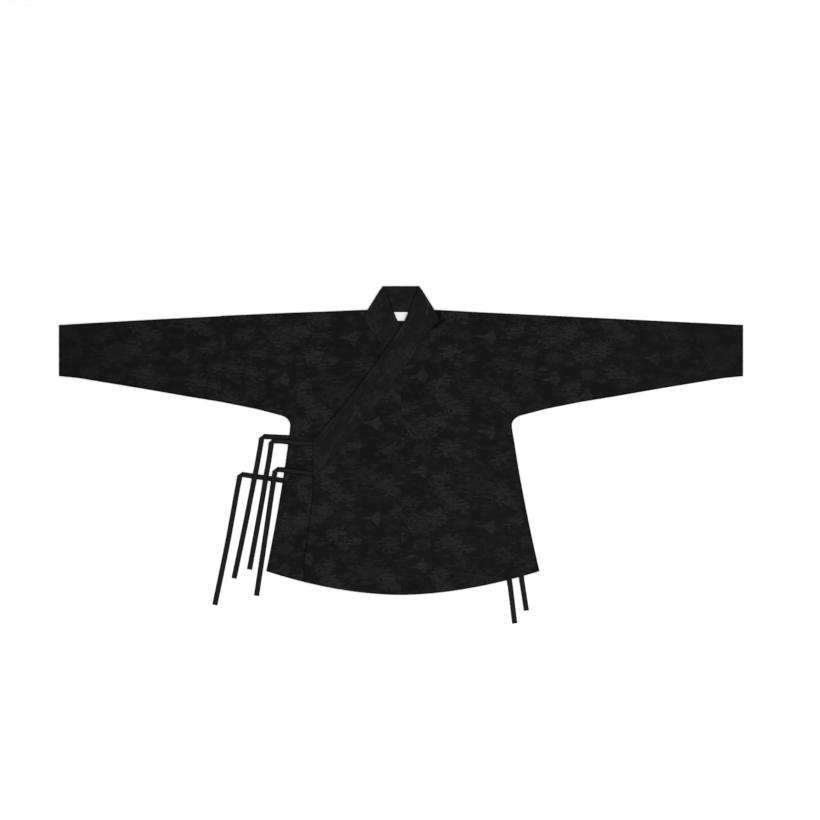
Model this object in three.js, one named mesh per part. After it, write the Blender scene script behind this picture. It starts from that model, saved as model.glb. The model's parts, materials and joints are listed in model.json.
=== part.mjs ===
// A cross-collar hanfu inner top, laid flat on its back with the front up.
//
// Frame: +X towards the wearer's left, +Y towards the collar, +Z up, millimetres. The origin is the middle
// of the outline, on the surface that the top lies on. A "drop" is a distance below the level of the two
// neck points, where the shoulder folds meet the collar, so y = ORIGIN_DROP - drop.
//
// The cut is the traditional flat one: each half of the body is one length of cloth that runs from the back
// hem over the shoulder to the front hem, with the upper part of its sleeve. The lower sleeves are sewn on,
// an overlap panel is sewn to each half at the centre front, and one long band makes the collar. The left
// front lies over the right one. Every piece is a middle surface of points, thickened to a wall.
import * as THREE from "three";

const { clamp, lerp, smoothstep } = THREE.MathUtils;

// Cloth and clearances.
const WALL = 1.0; // one layer of cloth
const COLLAR_WALL = 2.0; // the collar band is folded double
const TIE_WALL = 1.2; // a tie is a narrow sewn strip
const LABEL_WALL = 0.7;
const CLEAR = 0.3; // between two layers that lie on each other
const SEAM = 0.4; // between two pieces where they are sewn together

// Outline of the body and sleeves.
const SPAN = 1600; // cuff to cuff
const NECK_HALF = 77; // centre to neck point
const SHOULDER_FALL = 35; // drop of the upper edge at the cuff
const SHOULDER_BOW = { left: 0, right: 2.4 }; // how far that edge bows up halfway out
const BACK_NECK_DROP = 3; // dip of the back neck seam at the centre
const SLEEVE_JOIN = 420; // centre to the seam of the lower sleeve
const CHEST_HALF = 258; // at CHEST_DROP, just under the arm
const CHEST_DROP = 269;
const SIDE_CURVE = 1.15; // 1 would make the side seam straight
const HEM_DROP = 665; // at the centre
const HEM_RISE = 55; // from the centre to the side seams
const HEM_HALF = { left: 322, right: 314 };
const HEM_CURVE = { left: 1.8, right: 1.85 };
const ORIGIN_DROP = 337.7;

// Under-sleeve edge: its drop at distances from the centre, out to the cuff.
const UNDER_SLEEVE = [
  { across: 286, drop: 243 },
  { across: 340, drop: 229 },
  { across: SLEEVE_JOIN, drop: 213 },
  { across: 500, drop: 200 },
  { across: 600, drop: 182.5 },
  { across: 700, drop: 166 },
  { across: 755, drop: 157 },
  { across: SPAN / 2, drop: 152.5 },
];
const ARMPIT_CORNER = { across: 259, drop: 249 }; // where the under-sleeve and side seams would cross
const ARMPIT_PARTS = 4;

// The crossing fronts.
const LAP_HALF = 206; // centre to the free edge of an overlap panel, and to the collar's end
const LAP_FLARE = 22; // how much further out that edge is at the hem
const LAP_FLARE_DROPS = { from: 400, to: 620 };

// Collar band.
const COLLAR_WIDTH = 62;
const FOLD_CLEAR = 3; // the shoulder folds start this far out from the band's fold beside the neck
const V_DROP = 35; // where the two free edges cross
const EDGE_SLOPE = 1.517; // fall of the free edge there, for each millimetre across
const EDGE_EASE = 0.00109; // and how it flattens towards the lap
const BACK_STAND = 57; // height of the band behind the neck
const NECK_TURN = [
  { edgeX: 41.5, edgeDrop: -BACK_STAND, seamX: NECK_HALF, seamDrop: 0 },
  { edgeX: 29.5, edgeDrop: -32, seamX: 87, seamDrop: 15 },
  { edgeX: 19.5, edgeDrop: -4, seamX: 76, seamDrop: 36 },
  { edgeX: 9, edgeDrop: 22, seamX: 64, seamDrop: 56 },
];

// Where layers pile up, the upper one is raised level this far past what lies under it, then it eases down.
const LEVEL_MARGIN = 32;
const EASE_LENGTH = 40;
const NECK_LIFT = 1.0; // the fronts lie over the standing part of the collar here
const NECK_LIFT_REACH = { full: 90, none: 180 };
const INNER_TIE_DROPS = { none: 270, full: 312 };
const TUCK = { x: 92, drop: 37, height: 1.8, reach: 15 }; // the small pucker beside the left neck point

// Mesh density.
const BODY_COLUMNS = 8;
const NECK_COLUMNS = 3;
const PLAIN_ROW_DROP = 200; // a row between the end of the neck edge and the armpit
const SKIRT_ROWS = 9;
const LAP_ROWS = 9;
const ARM_STEPS = { toCentre: 2, toLap: 7 };
const SLEEVE_ROWS = 6;
const BAND_POINTS = 4;
const BEHIND_PARTS = 4;
const FOLD_ANGLES = [0, 45, 90, 135, 180].map(THREE.MathUtils.degToRad);

// Numerical limits.
const MERGE_STEPS = 500; // points this many to a millimetre apart are one
const ROUNDING = 1e-6;
const CORRECTIONS = 20;

// Ties: the middle line from the seam outwards, with the level of its underside. A tie with a leg is folded
// over at the end of its run, and the leg lies on top of the run there.
const TIE_WIDTH = 12;
const LABEL = { half: 22, top: 3.9, bottom: 24 };
const FLOOR = 0;
const ON_TIE = TIE_WALL + CLEAR;
const ON_BACK = WALL + CLEAR;
const ON_FRONT = 2 * ON_BACK;
const TIES = {
  tie_right_side_upper: {
    run: [
      { x: -263.6, drop: 297.4, level: FLOOR },
      { x: -325, drop: 294.6, level: FLOOR },
    ],
    leg: [
      { x: -329, drop: 318, level: FLOOR },
      { x: -337.5, drop: 366, level: FLOOR },
      { x: -339.8, drop: 378, level: ON_TIE },
      { x: -345, drop: 404, level: ON_TIE },
      { x: -347.4, drop: 416, level: FLOOR },
      { x: -364, drop: 500, level: FLOOR },
      { x: -390.5, drop: 626.6, level: FLOOR },
    ],
  },
  tie_left_lap_upper: {
    run: [
      { x: -LAP_HALF - 2 * SEAM, drop: 312, level: ON_FRONT },
      { x: -250, drop: 309.6, level: ON_FRONT },
      { x: -272, drop: 306.2, level: ON_FRONT },
      { x: -286, drop: 305.2, level: ON_TIE },
      { x: -302.4, drop: 304.8, level: ON_TIE },
    ],
    leg: [
      { x: -305.6, drop: 328, level: FLOOR },
      { x: -312.5, drop: 370, level: FLOOR },
      { x: -314.5, drop: 381, level: ON_TIE },
      { x: -318.5, drop: 406, level: ON_TIE },
      { x: -320.5, drop: 418, level: FLOOR },
      { x: -335, drop: 500, level: FLOOR },
      { x: -354.5, drop: 605.8, level: FLOOR },
    ],
  },
  tie_right_side_lower: {
    run: [
      { x: -278.6, drop: 397.4, level: FLOOR },
      { x: -330, drop: 389.8, level: FLOOR },
      { x: -376, drop: 383, level: FLOOR },
    ],
    leg: [
      { x: -380.7, drop: 407, level: FLOOR },
      { x: -405, drop: 540, level: FLOOR },
      { x: -435.5, drop: 688.8, level: FLOOR },
    ],
  },
  tie_left_lap_lower: {
    run: [
      { x: -LAP_HALF - 2 * SEAM, drop: 381.6, level: ON_FRONT },
      { x: -256, drop: 375.6, level: ON_FRONT },
      { x: -275.5, drop: 372.8, level: ON_FRONT },
      { x: -284, drop: 372.2, level: FLOOR },
      { x: -293.5, drop: 371.4, level: FLOOR },
    ],
    leg: [
      { x: -297, drop: 392, level: ON_TIE },
      { x: -299.8, drop: 410, level: ON_TIE },
      { x: -302, drop: 424, level: FLOOR },
      { x: -313, drop: 500, level: FLOOR },
      { x: -338, drop: 667.3, level: FLOOR },
    ],
  },
  tie_right_lap_inner: {
    run: [
      { x: 212.4, drop: 352, level: ON_BACK },
      { x: 232, drop: 500, level: ON_BACK },
      { x: 254.5, drop: 638, level: ON_BACK },
      { x: 256.7, drop: 654, level: FLOOR },
      { x: 266, drop: 731.9, level: FLOOR },
    ],
  },
  tie_left_side_inner: {
    run: [
      { x: 259, drop: 323, level: ON_BACK },
      { x: 270, drop: 480, level: ON_BACK },
      { x: 282.4, drop: 630, level: ON_BACK },
      { x: 285, drop: 647, level: FLOOR },
      { x: 293.4, drop: 702, level: FLOOR },
    ],
  },
};

// Colours of the finishes.
const BLACK_JACQUARD = { color: 0x1a1a1b, roughness: 0.72, metalness: 0 };
const LABEL_WHITE = { color: 0xf1efe8, roughness: 0.85, metalness: 0 };

// ---------------------------------------------------------------- cloth as a surface of points

/** A point of a middle surface, from its place across, its drop and the height of the cloth's middle. */
const at = (x, drop, z) => new THREE.Vector3(x, ORIGIN_DROP - drop, z);

/** The column `wanted` of a table at a value of its rising column `key`, straight between rows. */
function lookUp(table, key, value, wanted) {
  const next = table.findIndex((row) => row[key] >= value);
  const i = next < 0 ? table.length - 1 : Math.max(next, 1);
  const [a, b] = [table[i - 1], table[i]];
  return lerp(a[wanted], b[wanted], clamp((value - a[key]) / (b[key] - a[key]), 0, 1));
}

/** Cloth gathered from grids of points that share their edges. */
class Cloth {
  points = [];
  faces = [];
  #known = new Map();

  #indexOf(point) {
    const key = point.toArray().map((value) => Math.round(value * MERGE_STEPS)).join();
    if (!this.#known.has(key)) this.#known.set(key, this.points.push(point) - 1);
    return this.#known.get(key);
  }

  /** Adds the cells between rows of points, wound the other way round if turned is true. */
  addGrid(rows, turned = false) {
    const indexed = rows.map((row) => row.map((point) => this.#indexOf(point)));
    for (let i = 0; i + 1 < indexed.length; i += 1) {
      for (let j = 0; j + 1 < indexed[i].length; j += 1) {
        const [a, b] = [indexed[i][j], indexed[i][j + 1]];
        const [d, c] = [indexed[i + 1][j], indexed[i + 1][j + 1]];
        for (const face of [[a, d, c], [a, c, b]]) {
          if (new Set(face).size === 3) this.faces.push(turned ? face.toReversed() : face);
        }
      }
    }
    return this;
  }

  #normals() {
    const normals = this.points.map(() => new THREE.Vector3());
    const triangle = new THREE.Triangle();
    for (const face of this.faces) {
      triangle.set(...face.map((i) => this.points[i]));
      const normal = triangle.getNormal(new THREE.Vector3());
      face.forEach((i, k) => {
        const to = (step) => this.points[face[(k + step) % 3]].clone().sub(this.points[i]);
        normals[i].addScaledVector(normal, to(1).angleTo(to(2)));
      });
    }
    return normals.map((normal) => normal.normalize());
  }

  /** The closed wall of that thickness around the surface. */
  thicken(wall) {
    const normals = this.#normals();
    const side = (sign) =>
      this.points.map((point, i) => point.clone().addScaledVector(normals[i], (sign * wall) / 2));
    const count = this.points.length;
    const edges = new Set(this.faces.flatMap(([a, b, c]) => [`${a},${b}`, `${b},${c}`, `${c},${a}`]));
    const triangles = this.faces.flatMap((face) => [face, face.map((i) => i + count).toReversed()]);
    for (const edge of edges) {
      const [a, b] = edge.split(",").map(Number);
      if (!edges.has(`${b},${a}`)) triangles.push([b, a, a + count], [b, a + count, b + count]);
    }
    const geometry = new THREE.BufferGeometry().setFromPoints([...side(1), ...side(-1)]);
    geometry.setIndex(triangles.flat());
    geometry.computeVertexNormals();
    return geometry;
  }
}

/** Rows of points that carry cloth round a folded edge, from the upper layer's edge to the lower layer's. */
function foldRows(upper, lower, turned) {
  return upper.map((top, i) => {
    const before = upper[Math.max(i - 1, 0)];
    const after = upper[Math.min(i + 1, upper.length - 1)];
    const out = new THREE.Vector3(before.y - after.y, after.x - before.x, 0).normalize();
    if (turned) out.negate();
    const radius = (top.z - lower[i].z) / 2;
    return FOLD_ANGLES.map((angle) => {
      const point = top.clone().addScaledVector(out, radius * Math.sin(angle));
      return point.setZ(top.z - radius * (1 - Math.cos(angle)));
    });
  });
}

// ---------------------------------------------------------------- outline and layers

const sideName = (sign) => (sign > 0 ? "left" : "right");

/** Drop of the shoulder fold. */
function shoulderDrop(across, side) {
  const share = (across - NECK_HALF) / (SPAN / 2 - NECK_HALF);
  return SHOULDER_FALL * share - 4 * SHOULDER_BOW[side] * share * (1 - share);
}

/** Drop of the hem. */
const hemDrop = (across, side) => HEM_DROP - HEM_RISE * (across / HEM_HALF[side]) ** HEM_CURVE[side];

/** How far out the free edge of an overlap panel is. */
const lapHalf = (drop) =>
  LAP_HALF + LAP_FLARE * smoothstep(drop, LAP_FLARE_DROPS.from, LAP_FLARE_DROPS.to);

/** How far out the side seam is. */
function sideHalf(drop, side) {
  const share = clamp((drop - CHEST_DROP) / (HEM_DROP - HEM_RISE - CHEST_DROP), 0, 1);
  return lerp(CHEST_HALF, HEM_HALF[side], share ** SIDE_CURVE);
}

/** The rounded armpit, from the under-sleeve seam down to the side seam. */
const ARMPIT = new THREE.QuadraticBezierCurve(
  new THREE.Vector2(UNDER_SLEEVE[0].across, UNDER_SLEEVE[0].drop),
  new THREE.Vector2(ARMPIT_CORNER.across, ARMPIT_CORNER.drop),
  new THREE.Vector2(CHEST_HALF, CHEST_DROP),
)
  .getPoints(ARMPIT_PARTS)
  .map(({ x, y }) => ({ across: x, drop: y }));
const TURN = ARMPIT_PARTS / 2;
const ARM_TURN = ARMPIT[TURN]; // the body widens into the sleeve at this point

/** A point of the collar's free edge, and of its seam, at a reach across from the crossing of the fronts. */
const edgeAt = (reach) => ({ x: -reach, drop: V_DROP + EDGE_SLOPE * reach - EDGE_EASE * reach * reach });
function seamAt(reach) {
  const slope = EDGE_SLOPE - 2 * EDGE_EASE * reach;
  const width = COLLAR_WIDTH / Math.hypot(1, slope);
  const edge = edgeAt(reach);
  return { x: edge.x + width * slope, drop: edge.drop + width };
}

/** The reach at which the seam is at x, found by repeated correction. */
function reachOfSeam(x) {
  let reach = -x;
  for (let i = 0; i < CORRECTIONS; i += 1) reach += seamAt(reach).x - x;
  return reach;
}

/** Rows of the left arm of the collar, from the neck fold to the end at the lap: free edge and seam. */
function collarArm() {
  const centre = reachOfSeam(0);
  const lap = reachOfSeam(-LAP_HALF);
  const row = (reach, seamReach) => {
    const [edge, seam] = [edgeAt(reach), seamAt(seamReach)];
    return { edgeX: edge.x, edgeDrop: edge.drop, seamX: seam.x, seamDrop: seam.drop };
  };
  const rows = [...NECK_TURN];
  for (let i = 0; i <= ARM_STEPS.toCentre; i += 1) {
    const reach = (centre * i) / ARM_STEPS.toCentre;
    rows.push(row(reach, reach));
  }
  for (let i = 1; i <= ARM_STEPS.toLap; i += 1) {
    const share = i / ARM_STEPS.toLap;
    rows.push(row(lerp(centre, LAP_HALF, share), lerp(centre, lap, share)));
  }
  return rows;
}
const ARM = collarArm();
const CENTRE_ROW = NECK_TURN.length + ARM_STEPS.toCentre;

/** How far the fronts are raised where they lie over the collar behind the neck. */
function neckLift(x, drop) {
  const away = smoothstep(Math.hypot(x, drop), NECK_LIFT_REACH.full, NECK_LIFT_REACH.none);
  return NECK_LIFT * (1 - away);
}

/** 1 where something lies beneath, easing to 0 at that many millimetres outside it. */
const cover = (outside) => 1 - smoothstep(outside, LEVEL_MARGIN, LEVEL_MARGIN + EASE_LENGTH);

/** Underside of the right front, which lies on the back. */
const underFront = (x, drop) => WALL + CLEAR + neckLift(x, drop);

/** Underside of the left front, which lies on the right front, its collar and the inner ties. */
function overFront(x, drop) {
  const freeEdge = drop < ARM.at(-1).edgeDrop ? -lookUp(ARM, "edgeDrop", drop, "edgeX") : lapHalf(drop);
  const seam = -lookUp(ARM, "seamDrop", drop, "seamX") + Math.max(drop - ARM.at(-1).seamDrop, 0);
  const onPanel = cover(x - freeEdge);
  const onCollar = Math.min(onPanel, cover(seam - x));
  const onTies = smoothstep(drop, INNER_TIE_DROPS.none, INNER_TIE_DROPS.full);
  const lift = Math.max((WALL + CLEAR) * onPanel, (TIE_WALL + CLEAR) * onTies);
  return underFront(x, drop) + lift + (COLLAR_WALL - WALL) * onCollar;
}

/** The pucker in the left front beside its neck point. */
function tuck(x, drop) {
  const away = Math.hypot(x - TUCK.x, drop - TUCK.drop) / TUCK.reach;
  return TUCK.height * Math.exp(-away * away);
}

// ---------------------------------------------------------------- the pieces

/** Plan points of one body half, {x, drop}: rows down the torso, and rows out along the upper sleeve. */
function bodyPlan(side) {
  const inner = ARM.slice(0, CENTRE_ROW + 1).map(({ seamX, seamDrop }) => ({
    across: seamX + SEAM,
    drop: seamDrop,
  }));
  inner[0].across += FOLD_CLEAR;
  inner[CENTRE_ROW] = { across: SEAM / 2, drop: ARM[CENTRE_ROW].seamDrop + SEAM };
  const plain = [PLAIN_ROW_DROP, ...ARMPIT.slice(TURN).map(({ drop }) => drop)];
  const starts = [...inner, ...plain.map((drop) => ({ across: SEAM / 2, drop }))];
  const torso = starts.map((start) => {
    const outer = lookUp(ARMPIT, "drop", Math.max(start.drop, ARM_TURN.drop), "across");
    const slope = (1 - Math.min(start.drop / ARM_TURN.drop, 1)) * shoulderDrop(NECK_HALF + 1, side);
    return Array.from({ length: BODY_COLUMNS + 1 }, (_, j) => {
      const x = lerp(start.across, outer, j / BODY_COLUMNS);
      return { x, drop: start.drop + slope * (x - start.across) };
    });
  });
  for (let i = 1; i <= SKIRT_ROWS; i += 1) {
    const share = i / SKIRT_ROWS;
    const outer = sideHalf(lerp(CHEST_DROP, HEM_DROP - HEM_RISE, share), side);
    torso.push(
      Array.from({ length: BODY_COLUMNS + 1 }, (_, j) => {
        const x = lerp(SEAM / 2, outer, j / BODY_COLUMNS);
        return { x, drop: lerp(CHEST_DROP, hemDrop(x, side), share) };
      }),
    );
  }
  const armRows = torso.filter((row) => row.at(-1).drop <= ARM_TURN.drop + ROUNDING);
  const top = armRows[0].at(-1).drop;
  const inArmpit = ARMPIT.slice(1, TURN + 1).toReversed();
  const toJoin = UNDER_SLEEVE.filter(({ across }) => across <= SLEEVE_JOIN);
  const columns = [...inArmpit, ...toJoin].map(({ across, drop }) => ({
    x: across === SLEEVE_JOIN ? across - SEAM / 2 : across,
    under: drop,
  }));
  const sleeve = armRows.map((row) => {
    const share = (row.at(-1).drop - top) / (ARM_TURN.drop - top);
    return columns.map(({ x, under }) => ({
      x,
      drop: lerp(top + shoulderDrop(x, side) - shoulderDrop(ARM_TURN.across, side), under, share),
    }));
  });
  return { torso, sleeve };
}

/** Points of the back's neck, between the centre back and the front's neck edge. */
function backNeckPlan(torso) {
  return torso.slice(0, CENTRE_ROW + 1).map((row, i) =>
    Array.from({ length: NECK_COLUMNS + 1 }, (_, j) => {
      const share = j / NECK_COLUMNS;
      const dip = i === 0 && j < NECK_COLUMNS ? BACK_NECK_DROP * (1 - share ** 2) + 2 * SEAM : 0;
      return { x: lerp(SEAM / 2, row[0].x, share), drop: row[0].drop + dip };
    }),
  );
}

/** A front layer and a back layer that meet in folded or sewn edges, thickened as one wall. */
function doubleCloth({ fronts, backs, edges, sign, heightAt }) {
  const place = (x, drop, height) => at(x, drop, height(x, drop));
  const lay = (rows, height) => rows.map((row) => row.map(({ x, drop }) => place(sign * x, drop, height)));
  const front = (x, drop) => heightAt(x, drop) + WALL / 2;
  const back = () => WALL / 2;
  const cloth = new Cloth();
  for (const rows of fronts) cloth.addGrid(lay(rows, front), sign < 0);
  for (const rows of backs) cloth.addGrid(lay(rows, back), sign > 0);
  for (const edge of edges) {
    const [[upper], [lower]] = [lay([edge], front), lay([edge], back)];
    cloth.addGrid(foldRows(upper, lower, sign < 0), sign < 0);
  }
  return cloth.thicken(WALL);
}

/** One half of the body, front and back in one, folded at the shoulder and sewn down the side. */
function bodyHalf(sign, heightAt) {
  const { torso, sleeve } = bodyPlan(sideName(sign));
  const shoulder = [...torso[0], ...sleeve[0].slice(1)];
  const sideRows = torso.slice(sleeve.length).map((row) => row.at(-1));
  const underArm = [...sleeve.at(-1).toReversed(), ...sideRows];
  return doubleCloth({
    fronts: [torso, sleeve],
    backs: [torso, sleeve, backNeckPlan(torso)],
    edges: [shoulder, underArm],
    sign,
    heightAt,
  });
}

/** A lower sleeve: a flat tube from the join to the open cuff. */
function lowerSleeve(sign) {
  const side = sideName(sign);
  const columns = UNDER_SLEEVE.filter(({ across }) => across >= SLEEVE_JOIN).map(({ across, drop }) => {
    const x = across === SLEEVE_JOIN ? across + SEAM / 2 : across;
    return { x, upper: shoulderDrop(x, side), under: drop };
  });
  const rows = Array.from({ length: SLEEVE_ROWS + 1 }, (_, i) =>
    columns.map(({ x, upper, under }) => ({ x, drop: lerp(upper, under, i / SLEEVE_ROWS) })),
  );
  const edges = [rows[0], rows.at(-1).toReversed()];
  return doubleCloth({ fronts: [rows], backs: [rows], edges, sign, heightAt: underFront });
}

/** An overlap panel, from the centre front seam to its free edge, on the side that sign gives. */
function overlapPanel(sign, heightAt) {
  const side = sideName(sign);
  const tops = ARM.slice(CENTRE_ROW).map(({ seamX, seamDrop }) => ({
    across: -seamX,
    drop: seamDrop + SEAM,
  }));
  const hemHalf = LAP_HALF + LAP_FLARE;
  const foot = hemDrop(hemHalf, side);
  const rows = Array.from({ length: LAP_ROWS + 1 }, (_, i) => {
    const share = i / LAP_ROWS;
    const reach = lapHalf(lerp(tops.at(-1).drop, foot, share));
    return tops.map(({ across, drop }) => {
      const x = Math.max((reach * across) / LAP_HALF, SEAM / 2);
      const dropHere = lerp(drop, hemDrop((hemHalf * across) / LAP_HALF, side), share);
      return at(sign * x, dropHere, heightAt(sign * x, dropHere) + WALL / 2);
    });
  });
  return new Cloth().addGrid(rows).thicken(WALL);
}

/** Points across the collar band, from its free edge to its seam. */
const acrossBand = (edge, seam) =>
  Array.from({ length: BAND_POINTS }, (_, i) => edge.clone().lerp(seam, i / (BAND_POINTS - 1)));

/** The collar: the left arm over the right one, both folded from the flat standing part behind the neck. */
function collar() {
  const arm = (sign, heightAt) =>
    ARM.map(({ edgeX, edgeDrop, seamX, seamDrop }) => {
      const raise = (x, drop) => at(x, drop, heightAt(x, drop) + COLLAR_WALL / 2);
      return acrossBand(raise(sign * edgeX, edgeDrop), raise(sign * seamX, seamDrop)).map(({ x, y }) =>
        raise(x, ORIGIN_DROP - y),
      );
    });
  const [left, right] = [arm(1, overFront), arm(-1, underFront)];
  const flat = (row) => row.map((point) => point.clone().setZ(COLLAR_WALL / 2));
  const turn = (row, turned) => {
    const folded = foldRows(row.toReversed(), flat(row).toReversed(), turned).toReversed();
    return FOLD_ANGLES.slice(1, -1).map((_, k) => folded.map((points) => points.at(-2 - k)));
  };
  const [from, to] = [flat(left[0]), flat(right[0])];
  const behind = Array.from({ length: BEHIND_PARTS + 1 }, (_, k) => {
    const share = k / BEHIND_PARTS;
    return from.map((point, i) => {
      const dip = BACK_NECK_DROP * (1 - (2 * share - 1) ** 2) * (i / (BAND_POINTS - 1));
      const here = point.clone().lerp(to[i], share);
      return here.setY(here.y - dip);
    });
  });
  const rows = [
    ...left.toReversed(),
    ...turn(left[0], true).toReversed(),
    ...behind,
    ...turn(right[0], false),
    ...right,
  ];
  return new Cloth().addGrid(rows).thicken(COLLAR_WALL);
}

/** A tie: its run from the seam and, past a folded corner, its leg. */
function tie({ run, leg = [] }) {
  const middle = ({ x, drop, level }) => at(x, drop, level + TIE_WALL / 2);
  const flatTo = (a, b) => b.clone().sub(a).setZ(0).normalize();
  const across = (point, heading) => {
    const sideways = new THREE.Vector3(-heading.y, heading.x, 0).multiplyScalar(TIE_WIDTH / 2);
    return [point.clone().add(sideways), point.clone().sub(sideways)];
  };
  const strip = (points) =>
    points.map((point, i) =>
      across(point, flatTo(points[Math.max(i - 1, 0)], points[Math.min(i + 1, points.length - 1)])),
    );
  const runLine = run.map(middle);
  if (!leg.length) return new Cloth().addGrid(strip(runLine)).thicken(TIE_WALL);

  const corner = runLine.at(-1);
  const legLine = [corner, ...leg.map(middle)];
  const [arriving, leaving] = [flatTo(runLine.at(-2), corner), flatTo(corner, legLine[1])];
  const crease = arriving.clone().add(leaving).normalize();
  const outwards = arriving.clone().addScaledVector(crease, -arriving.dot(crease)).normalize();
  const half = TIE_WIDTH / 2 / Math.sin(arriving.angleTo(crease));
  const turnSide = Math.sign(arriving.x * leaving.y - arriving.y * leaving.x);
  const radius = ON_TIE / 2;
  const corners = FOLD_ANGLES.map((angle) => {
    const here = corner.clone().addScaledVector(outwards, radius * Math.sin(angle));
    here.z += radius * (1 - Math.cos(angle));
    const reach = crease.clone().multiplyScalar(half * turnSide);
    return [here.clone().add(reach), here.clone().sub(reach)];
  });
  const legStrip = strip(legLine)
    .slice(1)
    .map((pair) => pair.toReversed());
  return new Cloth().addGrid([...strip(runLine).slice(0, -1), ...corners, ...legStrip]).thicken(TIE_WALL);
}

/** The plain label on the back neck. */
function neckLabel() {
  const z = ON_BACK + LABEL_WALL / 2;
  const row = (drop) => [at(-LABEL.half, drop, z), at(LABEL.half, drop, z)];
  return new Cloth().addGrid([row(LABEL.top), row(LABEL.bottom)]).thicken(LABEL_WALL);
}

// ---------------------------------------------------------------- the top

/** A named mesh with a finish of its own. */
function piece(name, geometry, finish = BLACK_JACQUARD) {
  const mesh = new THREE.Mesh(geometry, new THREE.MeshStandardMaterial(finish));
  mesh.name = name;
  return mesh;
}

const overWithTuck = (x, drop) => overFront(x, drop) + tuck(x, drop);
const top = new THREE.Group();
top.add(
  piece("body_left", bodyHalf(1, overWithTuck)),
  piece("body_right", bodyHalf(-1, underFront)),
  piece("overlap_left", overlapPanel(-1, overFront)),
  piece("overlap_right", overlapPanel(1, underFront)),
  piece("sleeve_left", lowerSleeve(1)),
  piece("sleeve_right", lowerSleeve(-1)),
  piece("collar", collar()),
  piece("neck_label", neckLabel(), LABEL_WHITE),
  ...Object.entries(TIES).map(([name, route]) => piece(name, tie(route))),
);

export default top;
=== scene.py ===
"""The looks of a cross-collar inner top that lies flat on its back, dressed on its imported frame.

Lengths are in millimetres until a mesh is made, and then in metres. +X points to the wearer's left, +Y to
the collar and +Z up. A "drop" is a distance below the level of the two neck points, where the shoulder folds
meet the collar, so y = Cut.origin_drop - drop.
"""

from __future__ import annotations

import json
import logging
import math
from dataclasses import dataclass, field
from enum import Enum
from itertools import pairwise
from typing import Callable, Iterable, NamedTuple, Sequence

import bpy
from bl_math import clamp, lerp, smoothstep
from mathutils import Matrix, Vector
from mathutils.kdtree import KDTree

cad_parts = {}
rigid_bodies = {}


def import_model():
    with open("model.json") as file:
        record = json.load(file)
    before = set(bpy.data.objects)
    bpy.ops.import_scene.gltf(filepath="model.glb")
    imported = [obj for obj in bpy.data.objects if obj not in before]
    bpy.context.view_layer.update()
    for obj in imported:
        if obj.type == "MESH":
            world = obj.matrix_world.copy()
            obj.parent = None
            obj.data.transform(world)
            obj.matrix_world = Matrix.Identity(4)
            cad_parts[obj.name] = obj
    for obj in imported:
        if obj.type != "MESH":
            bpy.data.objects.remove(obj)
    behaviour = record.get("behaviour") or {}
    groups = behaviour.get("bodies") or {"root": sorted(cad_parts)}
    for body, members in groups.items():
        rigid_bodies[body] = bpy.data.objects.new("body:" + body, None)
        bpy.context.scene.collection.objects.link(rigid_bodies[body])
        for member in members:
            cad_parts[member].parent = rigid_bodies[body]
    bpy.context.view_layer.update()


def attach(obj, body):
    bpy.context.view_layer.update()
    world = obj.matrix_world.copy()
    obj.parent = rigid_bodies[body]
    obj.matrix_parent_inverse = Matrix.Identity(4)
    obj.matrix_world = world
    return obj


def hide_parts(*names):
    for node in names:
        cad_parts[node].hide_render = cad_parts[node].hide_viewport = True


LOG = logging.getLogger("hanfu_top")
MM = 0.001
BODY = "root"
GRAIN_MAP = "grain"
# The point attribute of painted shade: how far the cloth's colour is darkened near edges, seams and folds
# and in crease troughs.
PAINTED_SHADE_ATTRIBUTE = "rim"
CORRECTIONS = 20

HeightAt = Callable[[float, float], float]
PlanRow = list["PlanPoint"]


class Side(Enum):
    """The wearer's left or right, with the sign of X there."""

    LEFT = 1
    RIGHT = -1


class Slot(Enum):
    """The record's material slots."""

    JACQUARD = "jacquard"
    COLLAR = "collar_cloth"
    TIE = "tie_cloth"
    LABEL = "label"


class PlanPoint(NamedTuple):
    """A point seen from above, on the left half: its distance from the centre and its drop."""

    across: float
    drop: float


class BandRow(NamedTuple):
    """One row across the collar band: its free edge and its seam, as x and drop."""

    edge: Vector
    seam: Vector


class ClothPoint(NamedTuple):
    """A point of cloth: its place, where it lies on the woven pattern, and how much shade is painted into
    its colour near edges and in creases.
    """

    place: Vector
    grain: Vector
    rim: float


# ---------------------------------------------------------------- helpers


def ease(value: float, low: float, high: float) -> float:
    """Return 0 below low, 1 above high, and a smooth step between them."""
    return smoothstep(low, high, value)


def look_up(table: Sequence[tuple[float, float]], key: float) -> float:
    """Read a table of (key, value) rows, straight between rows and level outside them.

    Args:
        table: Rows in order of rising key.
        key: Where to read it.

    Returns:
        The value there.
    """
    if key <= table[0][0]:
        return table[0][1]
    for (low, before), (high, after) in pairwise(table):
        if key <= high:
            return lerp(before, after, (key - low) / (high - low))
    return table[-1][1]


def smooth_path(points: Sequence[Vector], parts: int) -> list[Vector]:
    """Run a smooth curve through points.

    Args:
        points: The points that the curve passes.
        parts: How many pieces each stretch between two of them is cut into.

    Returns:
        The points of the curve, the given ones among them.
    """
    path = [points[0].copy()]
    for i in range(len(points) - 1):
        before = points[max(i - 1, 0)]
        here = points[i]
        there = points[i + 1]
        after = points[min(i + 2, len(points) - 1)]
        for k in range(1, parts + 1):
            t = k / parts
            bend = (before * 2 - here * 5 + there * 4 - after) * t * t
            twist = (here * 3 - before - there * 3 + after) * t * t * t
            path.append((here * 2 + (there - before) * t + bend + twist) / 2)
    return path


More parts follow.
